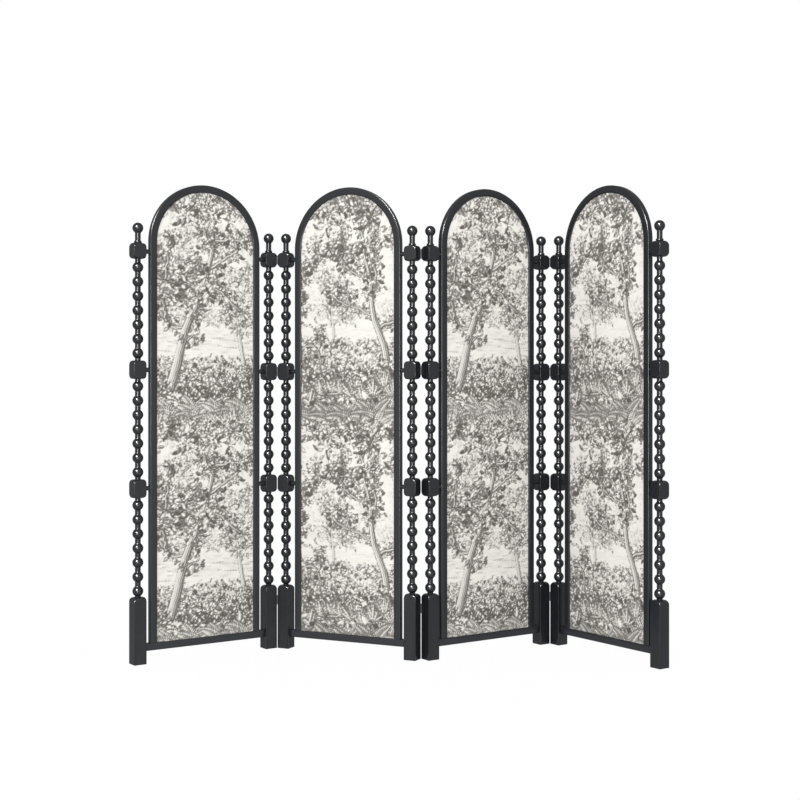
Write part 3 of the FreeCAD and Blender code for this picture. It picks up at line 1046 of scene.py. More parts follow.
@dataclass
class ArchedFrame:
    """The frame between the posts: bent uprights and head, bottom rail, dowels, beads and brads.

    The brads' line is a share of the bead's width.
    """

    post: TurnedPost
    trees: Trees
    finishes: Finishes
    post_spacing: float = 0.549
    height: float = 1.795
    depth: float = 0.022
    face: float = 0.028
    gap: float = 0.0205
    rail_foot: float = 0.0455
    rebate_width: float = 0.008
    rebate_lip: float = 0.005
    front_round: float = 0.0034
    back_round: float = 0.0015
    panel_play: float = 0.0005
    paper_thickness: float = 0.0004
    board_thickness: float = 0.005
    bead_width: float = 0.008
    bead_depth: float = 0.006
    bead_round: float = 0.004
    bead_arris: float = 0.0003
    bead_outer_arris: float = 0.0006
    brad_spacing: float = 0.12
    brad_width: float = 0.0022
    brad_length: float = 0.002
    brad_dome: float = 0.0005
    brad_sink: float = 0.0001
    brad_line: float = 0.42
    brad_inset: float = 0.03
    brad_sides: int = 10
    dowel_width: float = 0.017
    dowel_sink: float = 0.012
    dowel_ease: float = 0.001
    dowel_sides: int = 32
    arch_steps: int = 64

    def __post_init__(self) -> None:
        """Works out the radii and heights."""
        self.reach = self.post_spacing / 2 - self.post.side / 2 - self.gap
        self.springing = self.height - self.reach
        self.opening = self.reach - self.face
        self.rebate = self.opening + self.rebate_width
        self.panel = self.rebate - self.panel_play
        self.rail_top = self.rail_foot + self.face
        self.rebate_foot = self.rail_top - self.rebate_width
        self.paper_front = self.rebate_lip - self.depth / 2
        self.board_back = self.paper_front + self.paper_thickness + self.board_thickness

    def arch_path(self, radius: float, foot: float, depth: float = 0) -> Mesh:
        """Up the left side, round the head and down the right side.

        Args:
            radius: From the panel's middle line.
            foot: Height of both ends.
            depth: Place along Y.

        Returns:
            The path's edges.
        """
        turns = [math.pi * (1 - step / self.arch_steps) for step in range(self.arch_steps + 1)]
        arc = [(radius * math.cos(turn), self.springing + radius * math.sin(turn)) for turn in turns]
        return polyline([(x, depth, z) for x, z in [(-radius, foot), *arc, (radius, foot)]])

    def timber(self) -> Mesh:
        """Both uprights and the half-round head, in one length.

        Its section goes from the outer side: towards the front, then inwards to the opening.

        Returns:
            The frame's mesh.
        """
        half = self.depth / 2
        step = half - self.rebate_lip
        inner = self.face - self.rebate_width
        section = rounded([
            (-half, 0, self.back_round),
            (half, 0, self.front_round),
            (half, self.face, self.front_round),
            (step, self.face, self.back_round / 4),
            (step, inner, self.back_round / 8),
            (-half, inner, self.back_round / 2),
        ])
        path = self.arch_path(self.reach, self.rail_top)
        return self.trees.swept(path, section, self.finishes.lacquer)

    def rail(self) -> Mesh:
        """The bottom rail, with the rebate that the board stands in.

        Returns:
            The rail's mesh.
        """
        half = self.depth / 2
        end = (self.post_spacing - self.post.side) / 2
        outline = rounded([
            (-half, self.rail_foot, self.front_round),
            (half, self.rail_foot, self.back_round),
            (half, self.rail_top, self.back_round),
            (-half, self.rail_top, self.front_round),
        ])
        low = (-self.rebate, self.paper_front, self.rebate_foot)
        high = (self.rebate, self.depth, self.height)
        rail = cut(bar(outline, -end, end), [block_mesh(low, high)])
        return coated(rail, self.finishes.lacquer)

    def dowels(self, side: Side) -> Mesh:
        """The three round dowels between the frame and one post.

        Args:
            side: The post's side of the panel.

        Returns:
            One mesh of all three.
        """
        length = self.gap + 2 * self.dowel_sink
        unit = eased_rod(self.dowel_width / 2, 0, length, self.dowel_ease, self.dowel_sides)
        unit.transform(Matrix.Rotation(side.value * math.pi / 2, 4, "Y"))
        start = side.value * (self.reach - self.dowel_sink)
        points = [(start, 0, height) for height in self.post.block_middles]
        return self.trees.on_points(unit, points, self.finishes.lacquer)

    def brad(self) -> Mesh:
        """One brad with a low domed head that faces the back.

        Returns:
            The brad's mesh.
        """
        radius = self.brad_width / 2
        shank = [(0, -self.brad_length), (radius, -self.brad_length), (radius, 0)]
        dome = [(radius * 0.7, self.brad_dome * 0.8), (0, self.brad_dome)]
        brad = lathe([*shank, *dome], self.brad_sides)
        brad.transform(Matrix.Rotation(-math.pi / 2, 4, "X"))
        return brad

    def beads(self) -> Mesh:
        """The bead that holds the board all round from behind, and its brads.

        Returns:
            One mesh of them all.
        """
        lacquer, steel = self.finishes.lacquer, self.finishes.blackened
        section = rounded([
            (0, 0, self.bead_arris),
            (0, self.bead_width, self.bead_arris),
            (-self.bead_depth, self.bead_width, self.bead_round),
            (-self.bead_depth, 0, self.bead_outer_arris),
        ])
        outer = self.rebate - self.panel_play / 2
        inner = outer - self.bead_width
        rim = self.arch_path(outer, self.rebate_foot, self.board_back)
        around = self.trees.swept(rim, section, lacquer)
        profile = [(self.board_back - front, self.rebate_foot + inwards) for front, inwards in section]
        foot = coated(bar(profile, -inner, inner), lacquer)
        line = self.bead_width * self.brad_line
        depth = self.board_back + self.bead_depth - self.brad_sink
        upright = self.arch_path(outer - line, self.rebate_foot + self.brad_spacing / 3, depth)
        end = inner - self.brad_inset
        across = polyline([(x, depth, self.rebate_foot + line) for x in (-end, end)])
        brad = self.brad()
        brads = [self.trees.along(brad, path, self.brad_spacing, steel) for path in (upright, across)]
        return joined(around, foot, *brads)


# Engraved prints: sizes in this section's drawing are millimetres, as a print's are


@dataclass
class Engraving:
    """A verdure drawn leaf by leaf, from far to near, on one drop that repeats up the panel.

    Ink goes from 0 to 1. Stroke is how far a point lies across the engraver's strokes there, so that
    strokes follow each leaf and bough, and wave is 0 in the middle of a stroke and 1 between two. Real
    strokes lie under a millimetre apart; these are as coarse as they need to be to show. Light comes
    from the upper left. The ink of an edge, rib, bark or light is how far it differs from the middle.
    """

    design: Verdure
    half_width: float = 216.0
    drop: float = 861.0
    step: float = 2.87
    outline: float = 2.4
    stroke_spacing: float = 7.2
    stretch: float = 8.0
    leaf_edge_ink: float = 0.75
    leaf_rib_ink: float = 0.35
    leaf_light_ink: float = 0.16
    least_ribbed_width: float = 9.0
    rib_half_width: float = 1.6
    bough_edge_ink: float = 0.55
    bark_ink: float = 0.3
    bough_light_ink: float = 0.3
    full_bark_width: float = 16.0
    tone_shares: tuple[float, ...] = (0, 0.06, 0.14, 0.27, 0.5, 0.75, 0.9, 0.97, 1)
    tones: tuple[float, ...] = (0, 0.0, 0.06, 0.25, 0.52, 0.77, 0.93, 1, 1)

    def __post_init__(self) -> None:
        """Sets out the blank plate and draws the design."""
        self.random = np.random.default_rng(self.design.value)
        self.rows = round(self.drop / self.step)
        self.across = np.arange(-self.half_width, self.half_width + self.step, self.step)
        self.ink = np.zeros((self.rows, len(self.across)))
        self.stroke = np.zeros_like(self.ink) + np.arange(self.rows)[:, None] * self.step
        draw = {Verdure.LEANING_TREE: self.draw_leaning_tree, Verdure.FERN_GLADE: self.draw_fern_glade}
        draw[self.design]()
        self.even_out()
        self.wave = 0.5 + 0.5 * np.sin(2 * math.pi * self.stroke / self.stroke_spacing)

    def window(self, x: float, z: float, reach: float) -> Optional[tuple]:
        """The part of the plate round a point.

        Args:
            x: The point's place across.
            z: Its height; the drop repeats.
            reach: How far the part goes each way.

        Returns:
            The rows and columns, and each point's offsets from the middle, or None off the plate.
        """
        first = int((x - reach + self.half_width) / self.step)
        last = int((x + reach + self.half_width) / self.step) + 2
        first, last = max(first, 0), min(last, len(self.across))
        if first >= last:
            return None
        rows = np.arange(math.floor((z - reach) / self.step), math.ceil((z + reach) / self.step) + 1)
        over = self.across[first:last][None, :] - x
        up = (rows * self.step)[:, None] - z
        return np.ix_(rows % self.rows, np.arange(first, last)), over, up

    def lay(self, spot: tuple, gap: np.ndarray, ink: Union[float, np.ndarray], stroke: np.ndarray) -> None:
        """Prints over what is there.

        Args:
            spot: The rows and columns.
            gap: How far each point lies inside the shape.
            ink: Its ink.
            stroke: Its strokes.
        """
        cover = np.clip(gap / self.step + 0.5, 0, 1)
        self.ink[spot] += cover * (np.clip(ink, -0.1, 1.2) - self.ink[spot])
        self.stroke[spot] = np.where(cover > 0.5, stroke, self.stroke[spot])

    def leaf(self, x: float, z: float, length: float, width: float, turn: float, tone: float,
             contrast: float = 1.0) -> None:
        """One pointed leaf: dark round its edge and along its rib, light on its upper half.

        Args:
            x: Place of its stalk across.
            z: Height of its stalk.
            length: From stalk to tip.
            width: Across.
            turn: Direction of its tip, in radians.
            tone: Its middle ink.
            contrast: How far its lights and darks lie apart; a distant leaf has little.
        """
        middle = (x + length / 2 * math.cos(turn), z + length / 2 * math.sin(turn))
        found = self.window(*middle, length * 0.6 + 3)
        if found is None:
            return
        spot, over, up = found
        along = over * math.cos(turn) + up * math.sin(turn)
        beside = up * math.cos(turn) - over * math.sin(turn)
        share = np.clip(along / length + 0.5, 0, 1)
        half = width / 2 * np.sin(math.pi * share**0.85) ** 0.7
        gap = np.minimum(half - np.abs(beside), length / 2 - np.abs(along))
        stroke = np.abs(beside) * 0.8 + along * 0.6
        upper = np.clip(beside * (math.cos(turn) + 0.3 * math.sin(turn)) / 2, -1, 1)
        rib = np.clip(1 - np.abs(beside) / self.rib_half_width, 0, 1) * (width > self.least_ribbed_width)
        edge = tone + self.leaf_edge_ink * contrast * max(1 - tone, 0)
        self.lay(spot, gap + self.outline * contrast, edge, stroke)
        ink = tone + contrast * (self.leaf_rib_ink * rib - self.leaf_light_ink * upper)
        self.lay(spot, gap, ink, stroke)

    def bough(self, points: Sequence[Pair], widths: Sequence[float], tone: float,
              contrast: float = 1.0) -> None:
        """A tapering bough with bark along it, lit from the left.

        Args:
            points: Its middle line.
            widths: Its width at each point.
            tone: Its middle ink.
            contrast: How far its lights and darks lie apart.
        """
        stretches = list(zip(points, points[1:], widths))
        for edge in (self.outline * 0.7, 0.0):
            for (x0, z0), (x1, z1), width in stretches:
                reach = math.dist((x0, z0), (x1, z1)) / 2
                found = self.window((x0 + x1) / 2, (z0 + z1) / 2, reach + width / 2 + 6)
                if found is None:
                    continue
                spot, over, up = found
                turn = math.atan2(z1 - z0, x1 - x0)
                along = over * math.cos(turn) + up * math.sin(turn)
                beside = up * math.cos(turn) - over * math.sin(turn)
                gap = width / 2 - np.hypot(np.clip(np.abs(along) - reach, 0, None), beside)
                lit = np.clip(beside / (width / 2), -1, 1) * math.sin(turn)
                lit = lit + 0.4 * math.cos(turn) * beside / width
                bark = np.sin(beside * 0.8 + 1.8 * np.sin((up + z0) / 17))
                bark = bark * min(width / self.full_bark_width, 1)
                ink = tone + contrast * (self.bark_ink * bark - self.bough_light_ink * lit)
                self.lay(spot, gap + edge, tone + self.bough_edge_ink * contrast if edge else ink, beside)

    def path(self, x: float, z: float, heading: float, length: float, bend: float,
             wander: float) -> list[Pair]:
        """A wandering middle line.

        Args:
            x: Its start across.
            z: Its start's height.
            heading: Its first direction, in radians.
            length: Its length.
            bend: How far it turns in all.
            wander: How much each stretch strays.

        Returns:
            The points.
        """
        count = max(int(length / self.stretch), 2)
        points = [(x, z)]
        for _ in range(count):
            heading += bend / count + self.random.normal(0, wander)
            x, z = x + self.stretch * math.cos(heading), z + self.stretch * math.sin(heading)
            points.append((x, z))
        return points

    def clump(self, x: float, z: float, reach: float, size: float, tone: float, flat: float = 0.8,
              contrast: float = 1.0, cover: float = 2.0) -> None:
        """A clump of leaves: dark ones first, then lighter ones, most of them on its upper left.

        Args:
            x: Its middle across.
            z: Its middle's height.
            reach: How far it spreads.
            size: A leaf's length.
            tone: Its middle ink.
            flat: Its height as a share of its width.
            contrast: How far its lights and darks lie apart.
            cover: How thickly the leaves lie.
        """
        count = max(int(cover * flat * (reach / (size * 0.5)) ** 2), 4)
        offsets = np.clip(self.random.normal(0, 0.5, (count, 2)), -1.2, 1.2) * (reach, reach * flat)
        for number, (dx, dz) in enumerate(offsets.tolist()):
            turn = math.atan2(dz * 0.8 - reach * 0.2, dx) + self.random.normal(0, 0.7)
            length = size * self.random.uniform(0.7, 1.35)
            width = max(length * self.random.uniform(0.3, 0.48), 4.2)
            shade = 0.5 - number / count + 0.14 * (dx - dz) / reach + self.random.normal(0, 0.12)
            self.leaf(x + dx, z + dz, length, width, turn, tone + contrast * shade, contrast)

    def tuft(self, x: float, z: float, count: int, length: float, tone: float, lean: float = 0.0) -> None:
        """A tuft of grass blades that fan out from one root, dark at the back and light in front.

        Args:
            x: Its root across.
            z: Its root's height.
            count: How many blades.
            length: A blade's length.
            tone: Its middle ink.
            lean: Which way it leans, in radians.
        """
        for number in range(count):
            turn = math.pi / 2 + lean + self.random.normal(0, 0.55)
            reach = length * self.random.uniform(0.6, 1.1)
            shade = tone + 0.5 * (0.5 - number / count)
            self.leaf(x + self.random.normal(0, 6), z, reach, self.random.uniform(4.5, 6.5), turn, shade)

    def fern(self, x: float, z: float, length: float, turn: float, bend: float, tone: float) -> None:
        """A fern frond: leaflets in pairs along a bending rib.

        Args:
            x: Its root across.
            z: Its root's height.
            length: The frond's length.
            turn: Its first direction, in radians.
            bend: How far it turns in all.
            tone: Its middle ink.
        """
        rib = self.path(x, z, turn, length, bend, 0.02)
        for number, ((x0, z0), (x1, z1)) in enumerate(zip(rib, rib[1:])):
            heading = math.atan2(z1 - z0, x1 - x0)
            reach = (1 - number / len(rib)) * length * 0.34 + 6
            for side in (-1, 1):
                shade = tone + self.random.normal(0, 0.06) + 0.14 * side * math.cos(heading)
                self.leaf(x0, z0, reach, 6.6, heading + side * 1.05, shade)
        self.bough(rib, [3.0] * len(rib), tone + 0.25, 0.5)

    def fern_bed(self, roots: Sequence[float], z: float, turns: Sequence[float], length: float,
                 bend: float, tone: float, stray: float) -> None:
        """Fronds that fan out from each of several roots and droop to their own side.

        Args:
            roots: The roots' places across.
            z: The roots' height.
            turns: The fronds' first directions at each root, in radians.
            length: A frond's length.
            bend: How far a frond turns in all.
            tone: Its middle ink.
            stray: How far a frond's foot strays across.
        """
        for x in roots:
            for turn in turns:
                droop = bend if turn > math.pi / 2 else -bend
                place = (x + self.random.normal(0, stray), z + self.random.normal(0, 8))
                self.fern(*place, length, turn, droop, tone)

    def level_strokes(self, low: float, high: float, count: int, tone: float) -> None:
        """Loose level strokes, as on water or in a sky.

        Args:
            low: The lowest one's height.
            high: The highest one's height.
            count: How many.
            tone: Their ink.
        """
        for _ in range(count):
            x = self.random.uniform(-self.half_width, self.half_width)
            z = self.random.uniform(low, high)
            ink = tone * self.random.uniform(0.5, 1.4)
            turn = self.random.normal(0, 0.05)
            self.leaf(x, z, self.random.uniform(20, 75), self.random.uniform(3, 5), turn, ink, 0.12)

    def dabs(self, low: float, high: float, count: int, tone: float, size: float = 11.0,
             contrast: float = 0.8) -> None:
        """Small loose marks that stand for weeds and twigs too small to draw.

        Args:
            low: The lowest one's height.
            high: The highest one's height.
            count: How many.
            tone: Their middle ink.
            size: A mark's length.
            contrast: How far their lights and darks lie apart.
        """
        for _ in range(count):
            place = (self.random.uniform(-self.half_width, self.half_width), self.random.uniform(low, high))
            turn = math.pi / 2 + self.random.normal(0, 0.8)
            length = size * self.random.uniform(0.6, 1.3)
            ink = tone + contrast * self.random.normal(0, 0.32)
            self.leaf(*place, length, length * self.random.uniform(0.3, 0.5), turn, ink, contrast)

    def ground(self, low: float, high: float, tone: float, swell: float = 12.0) -> None:
        """Sloping ground right across the panel, its strokes along the slope.

        Args:
            low: Its foot.
            high: Its top line.
            tone: Its ink.
            swell: How far its top line rises and falls.
        """
        phase = self.random.uniform(0, 6.3, 3)
        x = self.across
        line = high + swell * (np.sin(x / 55 + phase[0]) + 0.5 * np.sin(x / 23 + phase[1]))
        foot = low + swell * (np.sin(x / 47 + phase[2]) + 0.6 * np.sin(x / 17 + phase[0]))
        first = math.floor((low - 2 * swell) / self.step)
        rows = np.arange(first, math.ceil((high + 2 * swell) / self.step))
        height = (rows * self.step)[:, None]
        spot = np.ix_(rows % self.rows, np.arange(len(x)))
        gap = np.minimum(line - height, height - foot)
        mottle = 0.12 * np.sin(height / 7 + 2 * np.sin(x / 19)[None, :] + phase[2])
        self.lay(spot, gap, tone + mottle, height - 0.7 * line)

    def far_trees(self, z: float, count: int, reach: float, tone: float, stray: float = 10.0) -> None:
        """A pale row of distant trees.

        Args:
            z: Their middles' height.
            count: How many.
            reach: How far each spreads.
            tone: Their ink.
            stray: How far they rise and fall.
        """
        for x in np.linspace(-self.half_width, self.half_width, count):
            place = (x + self.random.normal(0, 12), z + self.random.normal(0, stray))
            spread = reach * self.random.uniform(0.7, 1.2)
            self.clump(*place, spread, 12, tone, flat=1.1, contrast=0.5, cover=1.7)

    def bank(self, z: float, count: int, size: float, tone: float, reach: float = 34) -> None:
        """A bank of shrubs right across the panel.

        Args:
            z: Their middles' height.
            count: How many.
            size: A leaf's length.
            tone: Their ink.
            reach: How far each spreads.
        """
        for x in self.random.permutation(np.linspace(-self.half_width, self.half_width, count)):
            place = (x + self.random.normal(0, 8), z + self.random.normal(0, reach * 0.3))
            self.clump(*place, reach * self.random.uniform(0.6, 1.2), size * self.random.uniform(0.7, 1.3),
                       tone + self.random.normal(0, 0.08))

    def tree(self, x: float, z: float, heading: float, length: float, width: float, bend: float,
             tone: float, boughs: int, size: float, contrast: float = 1.0) -> None:
        """A tree: its trunk and boughs, with clumps of leaves behind and before them.

        Args:
            x: Its foot across.
            z: Its foot's height.
            heading: The trunk's first direction, in radians.
            length: The trunk's length.
            width: The trunk's width at its foot.
            bend: How far the trunk turns.
            tone: Its middle ink.
            boughs: How many boughs leave it.
            size: A leaf's length.
            contrast: How far its lights and darks lie apart.
        """
        trunk = self.path(x, z, heading, length, bend, 0.045)
        limbs = []
        for number in range(boughs):
            spot = int((0.3 + 0.7 * number / boughs) * (len(trunk) - 1))
            side = 1 if number % 2 else -1
            turn = heading + bend * spot / len(trunk) + side * self.random.uniform(0.55, 1.15)
            reach = length * self.random.uniform(0.26, 0.46)
            limb = self.path(*trunk[spot], turn, reach, side * self.random.uniform(-0.9, 0.4), 0.24)
            limbs.append((limb, width * (1 - 0.6 * number / boughs) * 0.42))
            fork = limb[len(limb) // 2]
            twig = self.path(*fork, turn - side * self.random.uniform(0.5, 1.1), reach * 0.5, 0.4, 0.3)
            limbs.append((twig, width * (1 - 0.6 * number / boughs) * 0.24))
        for limb, _ in limbs:
            for x0, z0 in limb[2::4]:
                place = (x0 + self.random.normal(0, 12), z0 + self.random.normal(4, 9))
                shade = tone - 0.04 + self.random.normal(0, 0.05)
                self.clump(*place, size * 1.5, size * 0.8, shade, 0.7, contrast, cover=1.5)
        for limb, wide in limbs:
            self.bough(limb, np.linspace(wide, max(wide * 0.35, 3.2), len(limb)), tone + 0.1, contrast)
        self.bough(trunk, np.linspace(width, width * 0.2, len(trunk)), tone + 0.1, contrast)
        for limb, _ in [*limbs, (trunk[len(trunk) // 2:], 0)]:
            for x0, z0 in limb[4::4]:
                if self.random.random() < 0.5:
                    place = (x0 + self.random.normal(0, 14), z0 + self.random.normal(0, 14))
                    shade = tone - 0.06 + self.random.normal(0, 0.06)
                    leaf = size * self.random.uniform(0.8, 1.2)
                    self.clump(*place, size * 1.2, leaf, shade, 0.8, contrast, cover=1.3)
            shade = tone - 0.06 + self.random.normal(0, 0.06)
            self.clump(*limb[-1], size * 1.6, size, shade, 0.8, contrast, cover=1.4)

    def draw_leaning_tree(self) -> None:
        """A tree that leans from the left over a pool, with pale woods behind it and ferns at its foot."""
        self.level_strokes(240, 900, 90, 0.2)
        self.far_trees(810, 6, 44, 0.27, 20)
        self.far_trees(720, 6, 46, 0.25, 30)
        self.far_trees(610, 6, 44, 0.27, 26)
        self.far_trees(500, 8, 42, 0.32)
        self.tree(-150, 395, heading=1.5, length=330, width=13, bend=0.25,
                  tone=0.38, boughs=7, size=13, contrast=0.7)
        self.far_trees(425, 12, 26, 0.4)
        self.dabs(395, 460, 260, 0.34, 10, 0.7)
        self.ground(300, 392, 0.18, 5)
        self.level_strokes(285, 385, 110, 0.42)
        self.ground(190, 262, 0.3)
        self.dabs(200, 280, 420, 0.38, 10, 0.9)
        self.tree(165, 235, heading=1.75, length=380, width=17, bend=-0.3,
                  tone=0.36, boughs=7, size=14, contrast=0.8)
        self.bank(225, 7, 13, 0.38, 28)
        self.ground(20, 190, 0.38)
        self.dabs(60, 210, 700, 0.38, 13, 1.1)
        self.tree(-165, 120, heading=1.15, length=740, width=40, bend=0.5,
                  tone=0.44, boughs=10, size=18)
        self.bank(150, 7, 16, 0.38, 32)
        self.dabs(90, 170, 260, 0.36, 16, 1.2)
        self.bank(100, 7, 20, 0.4, 32)
        self.fern_bed((-150, -60, 45, 140), 48, (0.6, 1.1, 1.6, 2.1, 2.6), length=92, bend=0.9,
                      tone=0.3, stray=10)
        for x in np.linspace(-200, 200, 11):
            self.tuft(x, 14 + self.random.normal(0, 14), 16, 56, 0.38)
        self.bank(8, 11, 15, 0.4, 28)
        self.dabs(-45, 25, 170, 0.36, 14, 1.0)
        self.bank(-24, 8, 21, 0.38, 36)
        self.bank(-64, 5, 19, 0.36, 36)

    def draw_fern_glade(self) -> None:
        """Two slender trees by an open glade, with thickets on both sides and broad leaves below."""
        self.level_strokes(330, 860, 70, 0.14)
        self.far_trees(770, 5, 44, 0.16, 30)
        self.far_trees(680, 5, 46, 0.14, 30)
        self.far_trees(590, 5, 44, 0.16, 30)
        self.far_trees(515, 8, 40, 0.24)
        self.far_trees(452, 12, 24, 0.36)
        self.dabs(425, 485, 200, 0.28, 9, 0.5)
        self.ground(330, 425, 0.1, 8)
        self.level_strokes(340, 410, 60, 0.25)
        self.tree(-60, 330, heading=1.5, length=260, width=12, bend=0.3,
                  tone=0.36, boughs=6, size=13, contrast=0.7)
        self.ground(180, 335, 0.3, 16)
        self.dabs(190, 350, 700, 0.4, 10, 0.9)
        self.bank(325, 7, 13, 0.42, 26)
        self.tree(175, 190, heading=1.62, length=640, width=30, bend=0.25,
                  tone=0.46, boughs=7, size=17)
        self.tree(-215, 150, heading=1.5, length=520, width=25, bend=-0.25,
                  tone=0.44, boughs=5, size=16)
        self.bank(240, 7, 17, 0.5, 34)
        self.ground(20, 190, 0.55)
        self.dabs(60, 220, 600, 0.5, 14, 1.1)
        for x in np.linspace(-200, 200, 10):
            self.tuft(x, 130 + self.random.normal(0, 14), 20, 68, 0.46, self.random.normal(0, 0.3))
        self.bank(115, 5, 28, 0.5, 38)
        self.fern_bed((-170, -75, 20, 120), 30, (0.7, 1.25, 1.9, 2.5), length=100, bend=0.8,
                      tone=0.42, stray=12)
        self.bank(12, 10, 19, 0.52, 32)
        self.dabs(-45, 25, 170, 0.45, 14, 1.0)
        self.bank(-24, 8, 21, 0.48, 36)
        self.bank(-68, 5, 19, 0.42, 36)

    def even_out(self) -> None:
        """Gives the plate its spread of tones: a few open lights, wide greys and a few darks.

        The tones are the ink up to each share of the plate.
        """
        ranks = np.searchsorted(np.sort(self.ink, axis=None), self.ink) / self.ink.size
        self.ink = np.interp(ranks, self.tone_shares, self.tones)

    def at(self, x: np.ndarray, z: np.ndarray) -> tuple[np.ndarray, np.ndarray]:
        """Ink and wave at points of the panel.

        Args:
            x: Places across, in millimetres.
            z: Heights, in millimetres.

        Returns:
            The ink and the wave there.
        """
        col = np.clip((x + self.half_width) / self.step, 0, len(self.across) - 1.001)
        row = z / self.step
        left, low = np.floor(col).astype(int), np.floor(row).astype(int)
        past, over = col - left, row - low
        values = []
        for plate in (self.ink, self.wave):
            below, above = (
                plate[line % self.rows, left] * (1 - past) + plate[line % self.rows, left + 1] * past
                for line in (low, low + 1)
            )
            values.append(below * (1 - over) + above * over)
        return values[0], values[1]


@dataclass
class PrintedSheet:
    """The printed paper in the frame's rebate."""

    frame: ArchedFrame
    step: float = 0.00287

    def mesh(self, plate: Engraving, finish: Material) -> Mesh:
        """The paper with its print: a fine front in rows, a rim and one face behind.

        Args:
            plate: The engraving.
            finish: The paper's material.

        Returns:
            The paper's mesh, whose points carry ink and wave.
        """
        reach, springing = self.frame.panel, self.frame.springing
        foot = self.frame.rebate_foot + self.frame.panel_play
        crown = springing + reach - self.step / 8
        cols = round(2 * reach / self.step)
        rows = round((crown - foot) / self.step)
        heights = np.linspace(foot, crown, rows + 1)
        above = np.clip(heights - springing, 0, None)
        widths = np.sqrt(reach**2 - above**2)
        shares = np.linspace(-1, 1, cols + 1)
        x = (widths[:, None] * shares[None, :]).ravel()
        z = np.repeat(heights, cols + 1)
        front = np.column_stack([x, np.full(x.size, self.frame.paper_front), z])
        here = (np.arange(rows)[:, None] * (cols + 1) + np.arange(cols)[None, :]).ravel()
        quads = np.column_stack([here, here + 1, here + cols + 2, here + cols + 1])
        first = np.arange(rows + 1) * (cols + 1)
        bottom, top = np.arange(cols + 1), rows * (cols + 1) + np.arange(cols + 1)
        rim = np.concatenate([bottom, first[1:] + cols, top[-2::-1], first[-2:0:-1]])
        back = front[rim] + (0, self.frame.paper_thickness, 0)
        behind = len(front) + np.arange(len(rim))
        sides = np.column_stack([np.roll(rim, -1), rim, behind, np.roll(behind, -1)])
        faces = [*quads.tolist(), *sides.tolist(), behind[::-1].tolist()]
        mesh = bpy.data.meshes.new("printed_paper")
        mesh.from_pydata(np.concatenate([front, back]).tolist(), [], faces)
        for name, values in zip(("ink", "wave"), plate.at(1000 * x, 1000 * z)):
            layer = mesh.attributes.new(name, "FLOAT", "POINT")
            values = np.concatenate([values, np.zeros(len(back))])
            layer.data.foreach_set("value", values.astype(np.float32))
        return coated(mesh, finish)


# Hinges


